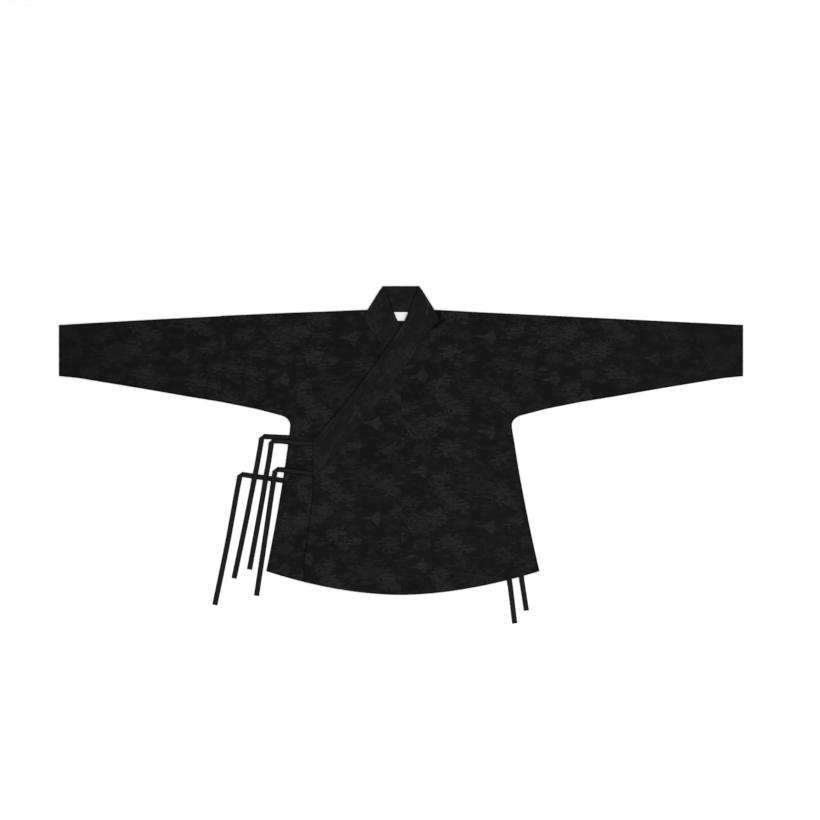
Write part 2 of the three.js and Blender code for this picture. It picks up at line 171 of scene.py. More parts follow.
def spacing(
    length: float,
    step: float,
    start: Sequence[float] = (),
    end: Sequence[float] = (),
) -> list[float]:
    """Share out a length in even steps, with extra lines close to its ends.

    Args:
        length: The whole length.
        step: The step in its middle.
        start: Distances of the extra lines from its start, rising.
        end: The same from its end.

    Returns:
        Fractions of the length, from 0 to 1.
    """
    low = [0.0, *start]
    high = [*(length - gap for gap in reversed(end)), length]
    count = max(1, round((high[0] - low[-1]) / step))
    middle = [lerp(low[-1], high[0], i / count) for i in range(1, count)]
    return [value / length for value in (*low, *middle, *high)]


def deselect_all() -> None:
    """Leave nothing selected, so that the next operator acts only on what is chosen."""
    for item in bpy.context.view_layer.objects:
        item.select_set(False)


def activate(item: bpy.types.Object) -> None:
    """Select one object and make it the active one."""
    deselect_all()
    item.select_set(True)
    bpy.context.view_layer.objects.active = item


# ---------------------------------------------------------------- the cut


@dataclass(frozen=True)
class Cut:
    """The flat cut of the top and how its layers lie, in millimetres."""

    span: float = 1600.0
    origin_drop: float = 337.7
    neck_half: float = 77.0
    shoulder_fall: float = 35.0
    shoulder_bow: dict[Side, float] = field(default_factory=lambda: {Side.LEFT: 0.0, Side.RIGHT: 2.4})
    back_neck_drop: float = 3.0
    sleeve_join: float = 420.0
    chest_half: float = 258.0
    chest_drop: float = 269.0
    side_curve: float = 1.15
    hem_drop_centre: float = 665.0
    hem_rise: float = 55.0
    hem_half: dict[Side, float] = field(default_factory=lambda: {Side.LEFT: 322.0, Side.RIGHT: 314.0})
    hem_curve: dict[Side, float] = field(default_factory=lambda: {Side.LEFT: 1.8, Side.RIGHT: 1.85})
    armpit_start: PlanPoint = PlanPoint(286.0, 243.0)
    armpit_corner: PlanPoint = PlanPoint(259.0, 249.0)
    under_sleeve: tuple[tuple[float, float], ...] = (
        (286.0, 243.0),
        (340.0, 229.0),
        (420.0, 213.0),
        (500.0, 200.0),
        (600.0, 182.5),
        (700.0, 166.0),
        (755.0, 157.0),
        (800.0, 152.5),
    )
    lap_half: float = 206.0
    lap_flare: float = 22.0
    lap_flare_from: float = 400.0
    lap_flare_to: float = 620.0

    collar_width: float = 62.0
    v_drop: float = 35.0
    edge_slope: float = 1.517
    edge_ease: float = 0.00109
    neck_turn: tuple[tuple[float, float, float, float], ...] = (
        (41.5, -57.0, 77.0, 0.0),
        (29.5, -32.0, 87.0, 15.0),
        (19.5, -4.0, 76.0, 36.0),
        (9.0, 22.0, 64.0, 56.0),
    )

    wall: float = 1.0
    collar_wall: float = 2.0
    tie_wall: float = 1.2
    clear: float = 0.3
    level_margin: float = 32.0
    ease_length: float = 40.0
    neck_lift: float = 1.0
    neck_lift_reach: tuple[float, float] = (90.0, 180.0)
    inner_tie_drops: tuple[float, float] = (270.0, 312.0)

    def at(self, x: float, drop: float, z: float) -> Vector:
        """Return the point at a place across, a drop and a height."""
        return Vector((x, self.origin_drop - drop, z))

    def shoulder_drop(self, across: float, side: Side) -> float:
        """Return the drop of the shoulder fold at a distance from the centre."""
        share = (across - self.neck_half) / (self.span / 2 - self.neck_half)
        return self.shoulder_fall * share - 4 * self.shoulder_bow[side] * share * (1 - share)

    def hem_drop(self, across: float, side: Side) -> float:
        """Return the drop of the hem at a distance from the centre."""
        share = max(across, 0.0) / self.hem_half[side]
        return self.hem_drop_centre - self.hem_rise * share ** self.hem_curve[side]

    def lap_reach(self, drop: float) -> float:
        """Return how far out an overlap panel's free edge is."""
        return self.lap_half + self.lap_flare * ease(drop, self.lap_flare_from, self.lap_flare_to)

    def side_half(self, drop: float, side: Side) -> float:
        """Return how far out the side seam is."""
        depth = self.hem_drop_centre - self.hem_rise - self.chest_drop
        share = clamp((drop - self.chest_drop) / depth)
        return lerp(self.chest_half, self.hem_half[side], share**self.side_curve)

    def armpit(self, parts: int) -> list[PlanPoint]:
        """Return the rounded armpit, from the under-sleeve seam down to the side seam."""
        rounded = []
        for i in range(parts + 1):
            t = i / parts
            weights = ((1 - t) ** 2, 2 * t * (1 - t), t * t)
            corners = (self.armpit_start, self.armpit_corner, PlanPoint(self.chest_half, self.chest_drop))
            across = sum(w * corner.across for w, corner in zip(weights, corners))
            drop = sum(w * corner.drop for w, corner in zip(weights, corners))
            rounded.append(PlanPoint(across, drop))
        return rounded

    def edge_at(self, reach: float) -> Vector:
        """Return the collar's free edge at a reach across from the crossing of the fronts."""
        return Vector((-reach, self.v_drop + self.edge_slope * reach - self.edge_ease * reach * reach))

    def seam_at(self, reach: float) -> Vector:
        """Return the collar's seam, square across the band from edge_at."""
        slope = self.edge_slope - 2 * self.edge_ease * reach
        width = self.collar_width / math.hypot(1, slope)
        return self.edge_at(reach) + Vector((width * slope, width))

    def reach_of_seam(self, x: float) -> float:
        """Return the reach at which the seam is at x, found by repeated correction."""
        reach = -x
        for _ in range(CORRECTIONS):
            reach += self.seam_at(reach).x - x
        return reach

    def arm(self, to_centre: int, to_lap: int, parts: int) -> tuple[list[BandRow], int]:
        """Lay out the left arm of the collar, from the neck fold to its end at the lap.

        Args:
            to_centre: How many stations lie between the crossing and the centre front.
            to_lap: How many lie between the centre front and the lap.
            parts: How many rows each stretch between two stations is cut into.

        Returns:
            The rows, and the number of the row whose seam is at the centre front.
        """
        centre = self.reach_of_seam(0.0)
        lap = self.reach_of_seam(-self.lap_half)
        edges = [Vector((x, drop)) for x, drop, _, _ in self.neck_turn]
        seams = [Vector((x, drop)) for _, _, x, drop in self.neck_turn]
        for i in range(to_centre + 1):
            reach = centre * i / to_centre
            edges.append(self.edge_at(reach))
            seams.append(self.seam_at(reach))
        for i in range(1, to_lap + 1):
            edges.append(self.edge_at(lerp(centre, self.lap_half, i / to_lap)))
            seams.append(self.seam_at(lerp(centre, lap, i / to_lap)))
        rows = [BandRow(*pair) for pair in zip(smooth_path(edges, parts), smooth_path(seams, parts))]
        return rows, (len(self.neck_turn) + to_centre) * parts


@dataclass(frozen=True)
class Crease:
    """A soft ridge, or a trough if its height is negative, placed by its middle.

    The heading is in degrees from +X. The bow is how far its middle is off the straight line between its
    ends, and the shade how dark a shadow it paints into the cloth's colour, on the scale where the painted
    shade of a free edge is 1.
    """

    # The darkest painted shadow that a crease may give.
    DARKEST = 1.12
    SPREAD = 3.0
    LEAN = 0.35

    x: float
    drop: float
    heading: float
    length: float
    width: float
    height: float
    bow: float = 0.0
    shade: float = 0.0

    def shadow(self, x: float, drop: float) -> float:
        """Return how dark a shadow the crease paints into the cloth's colour at a place."""
        if self.shade == 0:
            return 0.0
        return min(self.DARKEST, self.shade * clamp(self.lift(x, drop) / self.height))

    def lift(self, x: float, drop: float) -> float:
        """Return how far the crease raises the cloth at a place."""
        dx = x - self.x
        dy = self.drop - drop
        reach = self.length / 2
        if max(abs(dx), abs(dy)) > reach + self.width * self.SPREAD:
            return 0.0
        turn = math.radians(self.heading)
        along = (dx * math.cos(turn) + dy * math.sin(turn)) / reach
        if abs(along) >= 1:
            return 0.0
        aside = (dy * math.cos(turn) - dx * math.sin(turn) - self.bow * (1 - along * along)) / self.width
        fade = (1 - along * along) ** 2
        return self.height * fade * math.exp(-aside * aside) * (1 - self.LEAN * aside)


@dataclass(frozen=True)
class Stack:
    """How high each layer lies."""

    cut: Cut
    edge_rows: tuple[tuple[float, float], ...]
    seam_rows: tuple[tuple[float, float], ...]

    @staticmethod
    def of(cut: Cut, arm: Sequence[BandRow]) -> Stack:
        """Read the collar's free edge and seam as tables of drop against reach."""
        edge_rows = tuple((row.edge.y, -row.edge.x) for row in arm)
        seam_rows = tuple((row.seam.y, -row.seam.x) for row in arm)
        return Stack(cut, edge_rows, seam_rows)

    def cover(self, outside: float) -> float:
        """Return 1 where something lies beneath, easing to 0 that many millimetres outside it."""
        return 1 - ease(outside, self.cut.level_margin, self.cut.level_margin + self.cut.ease_length)

    def neck_lift(self, x: float, drop: float) -> float:
        """Return how far the fronts are raised where they lie over the collar behind the neck."""
        return self.cut.neck_lift * (1 - ease(math.hypot(x, drop), *self.cut.neck_lift_reach))

    def under_front(self, x: float, drop: float) -> float:
        """Return the underside of the right front, which lies on the back."""
        return self.cut.wall + self.cut.clear + self.neck_lift(x, drop)

    def over_front(self, x: float, drop: float) -> float:
        """Return the underside of the left front, which lies on the right one and the inner ties."""
        cut = self.cut
        last_edge = self.edge_rows[-1][0]
        last_seam = self.seam_rows[-1][0]
        free_edge = look_up(self.edge_rows, drop) if drop < last_edge else cut.lap_reach(drop)
        seam = look_up(self.seam_rows, drop) + max(drop - last_seam, 0.0)
        on_panel = self.cover(x - free_edge)
        on_collar = min(on_panel, self.cover(seam - x))
        on_ties = ease(drop, *cut.inner_tie_drops)
        lift = max((cut.wall + cut.clear) * on_panel, (cut.tie_wall + cut.clear) * on_ties)
        return self.under_front(x, drop) + lift + (cut.collar_wall - cut.wall) * on_collar


# ---------------------------------------------------------------- cloth


class Edges:
    """The edges of a panel, as closely spaced points that tell how far away they are."""

    SAMPLE = 0.5

    def __init__(self, runs: Iterable[Sequence[PlanPoint]]) -> None:
        """Sample each run of points.

        Args:
            runs: Runs of plan points along the edges.
        """
        samples: list[Vector] = []
        for run in runs:
            for here, there in pairwise(run):
                a = Vector((here.across, here.drop, 0.0))
                b = Vector((there.across, there.drop, 0.0))
                count = max(1, math.ceil((b - a).length / self.SAMPLE))
                samples += [a.lerp(b, i / count) for i in range(count + 1)]
        self.tree = KDTree(max(len(samples), 1))
        for i, sample in enumerate(samples):
            self.tree.insert(sample, i)
        self.tree.balance()
        self.empty = not samples

    def away(self, point: PlanPoint) -> float:
        """Return the distance from a point to the nearest edge."""
        if self.empty:
            return math.inf
        return self.tree.find(Vector((point.across, point.drop, 0.0)))[2]


@dataclass(frozen=True)
class Finish:
    """How cloth behaves near its edges, and the shade painted into its colour there."""

    # Where the painted shade eases out from a free edge, and its depth and reach beside a seam.
    edge_shade_start: float = 0.6
    edge_shade_width: float = 3.0
    seam_shade: float = 0.12
    seam_shade_start: float = 0.2
    seam_shade_width: float = 1.8
    seam_dip: float = 0.14
    seam_width: float = 3.0
    hem_depth: float = 9.4
    hem_rise: float = 0.3
    hem_step: float = 1.0
    hem_edge: float = 1.6
    crease_margin: float = 10.0
    seam_margin: float = 6.0

    def rim(self, away: float, to_seam: float = math.inf) -> float:
        """Return the painted shade: 1 on a free edge and less on a seam, easing to 0 inside them."""
        sewn = self.seam_shade * (1 - ease(to_seam, self.seam_shade_start, self.seam_shade_width))
        return max(sewn, 1 - ease(away, self.edge_shade_start, self.edge_shade_width))

    def dip(self, away: float) -> float:
        """Return how far cloth dips towards a seam."""
        return -self.seam_dip * (1 - ease(away, 0.0, self.seam_width))

    def hem(self, away: float) -> float:
        """Return how far a turned hem stands up."""
        inside = 1 - ease(away, self.hem_depth - self.hem_step, self.hem_depth + self.hem_step)
        return self.hem_rise * inside * ease(away, 0.0, self.hem_edge)


# Distances of the extra lines of points beside a seam, a fold, a hem and the edge of a tape.
SEAM_LINES = (0.7, 1.6, 3.0, 5.0)
FOLD_LINES = (0.8, 2.0, 4.0)
HEM_LINES = (0.7, 1.8, 5.0, 8.4, 9.4, 10.4, 12.5)
TAPE_LINES = (0.5, 1.2)
FOLD_PARTS = 8
FOLD_ANGLES = [math.radians(180 / FOLD_PARTS * i) for i in range(FOLD_PARTS + 1)]


class Cloth:
    """Cloth as a middle surface, gathered from grids of points that share their edges."""

    KEYS_PER_MM = 100
    EDGE_SHARE = 0.3
    EDGE_SEGMENTS = 2
    EDGE_ANGLE = 60.0
    SMOOTH_ANGLE = 50.0

    def __init__(self) -> None:
        """Start with no points."""
        self.places: list[Vector] = []
        self.painted_shades: list[float] = []
        self.faces: list[tuple[int, ...]] = []
        self.grains: list[tuple[Vector, ...]] = []
        self.known: dict[tuple[int, int, int], int] = {}

    def index_of(self, point: ClothPoint) -> int:
        """Return the number of a point, which is added if it is new."""
        key = tuple(round(value * self.KEYS_PER_MM) for value in point.place)
        if key not in self.known:
            self.known[key] = len(self.places)
            self.places.append(point.place)
            self.painted_shades.append(point.rim)
        return self.known[key]

    def add_grid(self, rows: Sequence[Sequence[ClothPoint]], turned: bool = False) -> Cloth:
        """Add the cells between rows of points.

        Args:
            rows: Rows of equal length.
            turned: Whether the cells are wound the other way round.

        Returns:
            This cloth.
        """
        numbers = [[self.index_of(point) for point in row] for row in rows]
        for i in range(len(rows) - 1):
            for j in range(len(rows[i]) - 1):
                around = [(i, j), (i + 1, j), (i + 1, j + 1), (i, j + 1)]
                if turned:
                    around.reverse()
                corners = [(numbers[a][b], rows[a][b].grain) for a, b in around]
                kept = [c for k, c in enumerate(corners) if c[0] != corners[k - 1][0]]
                if len({number for number, _ in kept}) < 3:
                    continue
                self.faces.append(tuple(number for number, _ in kept))
                self.grains.append(tuple(grain for _, grain in kept))
        return self

    def make(self, name: str, thickness: float) -> bpy.types.Object:
        """Make the closed wall of the cloth, with rounded edges.

        Args:
            name: The object's name.
            thickness: The wall's thickness.

        Returns:
            The object, at the origin.
        """
        mesh = bpy.data.meshes.new(name)
        mesh.from_pydata([place * MM for place in self.places], [], self.faces)
        grain_map = mesh.uv_layers.new(name=GRAIN_MAP)
        flat = [value * MM for grains in self.grains for grain in grains for value in grain]
        grain_map.data.foreach_set("uv", flat)
        # The painted shade of each point, which the cloth finishes read.
        rim = mesh.attributes.new(PAINTED_SHADE_ATTRIBUTE, "FLOAT", "POINT")
        rim.data.foreach_set("value", self.painted_shades)
        mesh.validate()
        piece = bpy.data.objects.new(name, mesh)
        bpy.context.collection.objects.link(piece)
        activate(piece)
        wall = piece.modifiers.new("wall", "SOLIDIFY")
        wall.thickness = thickness * MM
        wall.offset = 0.0
        bpy.ops.object.modifier_apply(modifier=wall.name)
        rounded = piece.modifiers.new("rounded_edge", "BEVEL")
        rounded.width = thickness * self.EDGE_SHARE * MM
        rounded.segments = self.EDGE_SEGMENTS
        rounded.limit_method = "ANGLE"
        rounded.angle_limit = math.radians(self.EDGE_ANGLE)
        bpy.ops.object.modifier_apply(modifier=rounded.name)
        bpy.ops.object.shade_smooth_by_angle(angle=math.radians(self.SMOOTH_ANGLE))
        return piece


def distances(rows: Sequence[Sequence[Vector]]) -> list[float]:
    """Return how far along a strip each of its rows lies, measured down its middle."""
    middle = len(rows[0]) // 2
    along = [0.0]
    for before, after in pairwise(rows):
        along.append(along[-1] + (after[middle] - before[middle]).length)
    return along


def fold_rows(
    upper: Sequence[Vector],
    lower: Sequence[Vector],
    turned: bool,
    bulges: Sequence[float] = (),
) -> list[list[Vector]]:
    """Carry cloth round a folded edge.

    Args:
        upper: Points along the upper layer's edge.
        lower: The lower layer's, straight below them.
        turned: Whether the fold bulges to the other side of the edge's direction.
        bulges: How much of a half circle each point bulges, 1 where it isn't given.

    Returns:
        For each point, the points round the fold.
    """
    rows = []
    for i, top in enumerate(upper):
        before = upper[max(i - 1, 0)]
        after = upper[min(i + 1, len(upper) - 1)]
        out = Vector((before.y - after.y, after.x - before.x, 0.0)).normalized()
        if turned:
            out.negate()
        radius = (top.z - lower[i].z) / 2
        out *= bulges[i] if bulges else 1.0
        down = Vector((0.0, 0.0, -radius))
        rows.append([top + out * radius * math.sin(a) + down * (1 - math.cos(a)) for a in FOLD_ANGLES])
    return rows


@dataclass
class Piece:
    """A finished piece of the top, and what it stands for."""

    node: str
    slot: Slot
    flat: tuple[float, float]
    area: float

    def hand_over(self, item: bpy.types.Object) -> None:
        """Tie a finished object to the frame and report it.

        Args:
            item: The object.
        """
        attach(item, BODY)
        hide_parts(self.node)
        LOG.info("%s: %d faces", item.name, len(item.data.polygons))


def plan_area(rows: Sequence[Sequence[PlanPoint]]) -> float:
    """Return the area of a plan grid, in square millimetres."""
    total = 0.0
    for above, below in pairwise(rows):
        for j in range(len(above) - 1):
            first = (below[j + 1].across - above[j].across) * (below[j].drop - above[j + 1].drop)
            second = (below[j].across - above[j + 1].across) * (below[j + 1].drop - above[j].drop)
            total += abs(first - second) / 2
    return total


@dataclass
class Outline:
    """The edges of a piece: where it is sewn, hemmed and folded."""

    seams: Edges
    hems: Edges
    folds: Edges

    def rim_gap(self, point: PlanPoint) -> float:
        """Return the distance to the nearest edge of any kind."""
        return min(self.seams.away(point), self.hems.away(point), self.folds.away(point))


@dataclass
class Layers:
    """A front and a back layer of one piece, laid on each other."""

    cut: Cut
    side: Side
    front_height: HeightAt
    creases: Sequence[Crease]
    grain_shift: Vector
    grain_fall: float = 0.035
    grain_fall_from: float = 150.0
    finish: Finish = Finish()

    def front(self, rows: Sequence[PlanRow], outline: Outline) -> list[list[ClothPoint]]:
        """Lay the front layer on plan rows, with its seams, hems, folds and creases."""
        laid = []
        for row in rows:
            line = []
            for point in row:
                x = self.side.value * point.across
                to_seam = outline.seams.away(point)
                to_hem = outline.hems.away(point)
                to_fold = outline.folds.away(point)
                height = self.front_height(x, point.drop) + self.cut.wall / 2
                height += self.finish.dip(to_seam) + self.finish.hem(to_hem)
                fade = ease(min(to_fold, to_hem), 0.0, self.finish.crease_margin)
                fade *= ease(to_seam, 0.0, self.finish.seam_margin)
                if fade > 0:
                    height += fade * sum(crease.lift(x, point.drop) for crease in self.creases)
                place = self.cut.at(x, point.drop, height)
                # Painted shade near edges, seams and folds, and the painted shadow of the crease troughs.
                rim = self.finish.rim(min(to_hem, to_fold), to_seam)
                rim = max(rim, *(crease.shadow(x, point.drop) for crease in self.creases), 0.0)
                line.append(ClothPoint(place, self.grain_of(place), rim))
            laid.append(line)
        return laid

    def back(self, rows: Sequence[PlanRow], outline: Outline) -> list[list[ClothPoint]]:
        """Lay the back layer, which is flat but for its creases."""
        laid = []
        for row in rows:
            line = []
            for point in row:
                x = self.side.value * point.across
                nearest = outline.rim_gap(point)
                fade = ease(nearest, 0.0, self.finish.crease_margin)
                lift = fade * sum(crease.lift(x, point.drop) for crease in BACK_CREASES)
                place = self.cut.at(x, point.drop, self.cut.wall / 2 + lift)
                fold_y = self.cut.origin_drop - self.cut.shoulder_drop(point.across, self.side)
                grain = self.grain_of(Vector((x, 2 * fold_y - place.y)))
                # Painted shade near edges, seams and folds.
                edge = min(outline.hems.away(point), outline.folds.away(point))
                rim = self.finish.rim(edge, outline.seams.away(point))
                line.append(ClothPoint(place, grain, rim))
            laid.append(line)
        return laid

    def grain_of(self, place: Vector) -> Vector:
        """Return where a place lies on the woven pattern, which sinks with the sleeves."""
        sunk = self.grain_fall * max(abs(place.x) - self.grain_fall_from, 0.0)
        return Vector((place.x, place.y + sunk)) + self.grain_shift

    def fold(self, upper: Sequence[ClothPoint], lower: Sequence[ClothPoint]) -> list[list[ClothPoint]]:
        """Join two edges of the layers by a rounded fold."""
        rows = fold_rows([p.place for p in upper], [p.place for p in lower], self.side is Side.RIGHT)
        folded = []
        for above, below, row in zip(upper, lower, rows):
            last = len(row) - 1
            reach = Vector((0.0, (above.place.z - below.place.z) * math.pi / 2))
            # Every point round the fold gets the full painted shade of a free edge.
            line = [ClothPoint(place, above.grain + reach * (k / last), 1.0) for k, place in enumerate(row)]
            folded.append(line)
        return folded


# ---------------------------------------------------------------- the pieces


# Columns of every crease: x, drop, heading, length, width, height, bow, shade.
FRONT_CREASES_LEFT = (
    Crease(212.0, 176.0, 52.0, 190.0, 9.0, 1.5, 8.0),
    Crease(236.0, 206.0, 66.0, 130.0, 6.5, 1.1, -5.0),
    Crease(300.0, 170.0, 100.0, 120.0, 8.0, 0.9, 6.0),
    Crease(352.0, 120.0, 12.0, 150.0, 10.0, 0.8, -7.0),
    Crease(150.0, 96.0, -18.0, 130.0, 9.0, 0.9, 6.0),
    Crease(86.0, 150.0, -60.0, 110.0, 7.0, 0.8, 4.0),
    Crease(226.0, 330.0, 78.0, 150.0, 8.0, 1.0, 6.0),
    Crease(250.0, 420.0, 84.0, 120.0, 6.0, 0.8, -4.0),
    Crease(120.0, 380.0, 95.0, 220.0, 14.0, 0.9, 9.0),
    Crease(60.0, 500.0, 88.0, 190.0, 12.0, 0.8, -8.0),
    Crease(190.0, 560.0, 98.0, 160.0, 11.0, 1.0, 7.0),
    Crease(268.0, 548.0, 102.0, 110.0, 8.0, 0.9, 4.0),
    Crease(99.0, 44.0, 38.0, 50.0, 8.5, 1.7, 1.0),
    # The last four rows are troughs beside the neck, whose shade paints a shadow into the cloth's colour.
    Crease(89.5, 10.0, -86.0, 50.0, 4.2, -1.2, 0.0, 2.0),
    Crease(85.0, 33.0, 36.0, 64.0, 3.8, -1.8, 1.0, 2.0),
    Crease(63.5, 58.0, 75.0, 32.0, 2.6, -0.8, 0.0, 0.6),
    Crease(112.0, 66.0, 30.0, 40.0, 4.5, -0.6, -2.0, 0.12),
)
FRONT_CREASES_RIGHT = (
    # The first four rows are puckers beside the collar's free edge, whose shade paints a shadow into the
    # cloth's colour.
    Crease(-51.0, 79.0, -40.0, 18.0, 2.6, -0.55, 0.0, 0.3),
    Crease(-57.0, 89.0, -36.0, 24.0, 2.8, -0.75, 1.0, 0.45),
    Crease(-62.0, 97.0, -44.0, 20.0, 2.4, -0.6, -1.0, 0.35),
    Crease(-70.0, 108.0, -38.0, 26.0, 3.0, -0.7, 1.0, 0.4),
    Crease(-86.0, 104.0, -30.0, 34.0, 4.0, 0.5, 1.5),
    Crease(-216.0, 180.0, 128.0, 180.0, 9.0, 1.4, -8.0),
    Crease(-240.0, 208.0, 112.0, 120.0, 6.0, 1.0, 5.0),
    Crease(-306.0, 164.0, 82.0, 120.0, 8.0, 0.9, -6.0),
    Crease(-352.0, 112.0, 168.0, 140.0, 10.0, 0.8, 7.0),
    Crease(-150.0, 92.0, 196.0, 130.0, 9.0, 0.9, -5.0),
    Crease(-250.0, 292.0, 150.0, 60.0, 5.0, 0.6, 3.0),
    Crease(-262.0, 470.0, 98.0, 150.0, 7.0, 0.8, 4.0),
)
LAP_CREASES = (
    Crease(-150.0, 430.0, 84.0, 180.0, 9.0, 0.9, 6.0),
    Crease(-86.0, 520.0, 92.0, 200.0, 12.0, 0.8, -7.0),
    Crease(-182.0, 350.0, 40.0, 70.0, 5.0, 0.6, 3.0),
    Crease(-40.0, 360.0, 74.0, 130.0, 9.0, 0.7, 5.0),
)
SLEEVE_CREASES = {
    Side.LEFT: (
        Crease(470.0, 110.0, 74.0, 110.0, 8.0, 1.2, 6.0),
        Crease(520.0, 96.0, 108.0, 96.0, 7.0, 1.0, -5.0),
        Crease(612.0, 70.0, 14.0, 150.0, 9.0, 0.9, 5.0),
        Crease(664.0, 118.0, 160.0, 120.0, 8.0, 0.8, -5.0),
        Crease(726.0, 92.0, 82.0, 90.0, 7.0, 1.0, 4.0),
    ),
    Side.RIGHT: (
        Crease(-462.0, 104.0, 104.0, 116.0, 8.0, 1.2, -6.0),
        Crease(-534.0, 100.0, 70.0, 90.0, 7.0, 0.9, 5.0),
        Crease(-600.0, 66.0, 168.0, 150.0, 9.0, 0.9, -5.0),
        Crease(-676.0, 112.0, 24.0, 120.0, 8.0, 0.8, 5.0),
        Crease(-740.0, 88.0, 98.0, 80.0, 7.0, 0.9, -4.0),
    ),
}
BACK_CREASES = (
    Crease(180.0, 190.0, 60.0, 170.0, 12.0, 0.4, 6.0),
    Crease(-196.0, 176.0, 122.0, 150.0, 11.0, 0.4, -6.0),
    Crease(70.0, 330.0, 88.0, 240.0, 14.0, 0.4, 8.0),
    Crease(-96.0, 400.0, 94.0, 210.0, 13.0, 0.35, -7.0),
    Crease(210.0, 500.0, 100.0, 160.0, 12.0, 0.4, 6.0),
    Crease(-230.0, 520.0, 82.0, 140.0, 11.0, 0.35, -5.0),
    Crease(540.0, 110.0, 96.0, 110.0, 9.0, 0.4, 4.0),
    Crease(-560.0, 104.0, 84.0, 110.0, 9.0, 0.4, -4.0),
)

# How far the pattern of each panel is shifted.
BODY_GRAIN = {Side.LEFT: Vector((0.0, 0.0)), Side.RIGHT: Vector((12.0, 5.0))}
OVERLAP_GRAIN = Vector((-43.0, -18.0))
SLEEVE_GRAIN = {Side.LEFT: Vector((-76.0, 37.0)), Side.RIGHT: Vector((98.0, 34.0))}


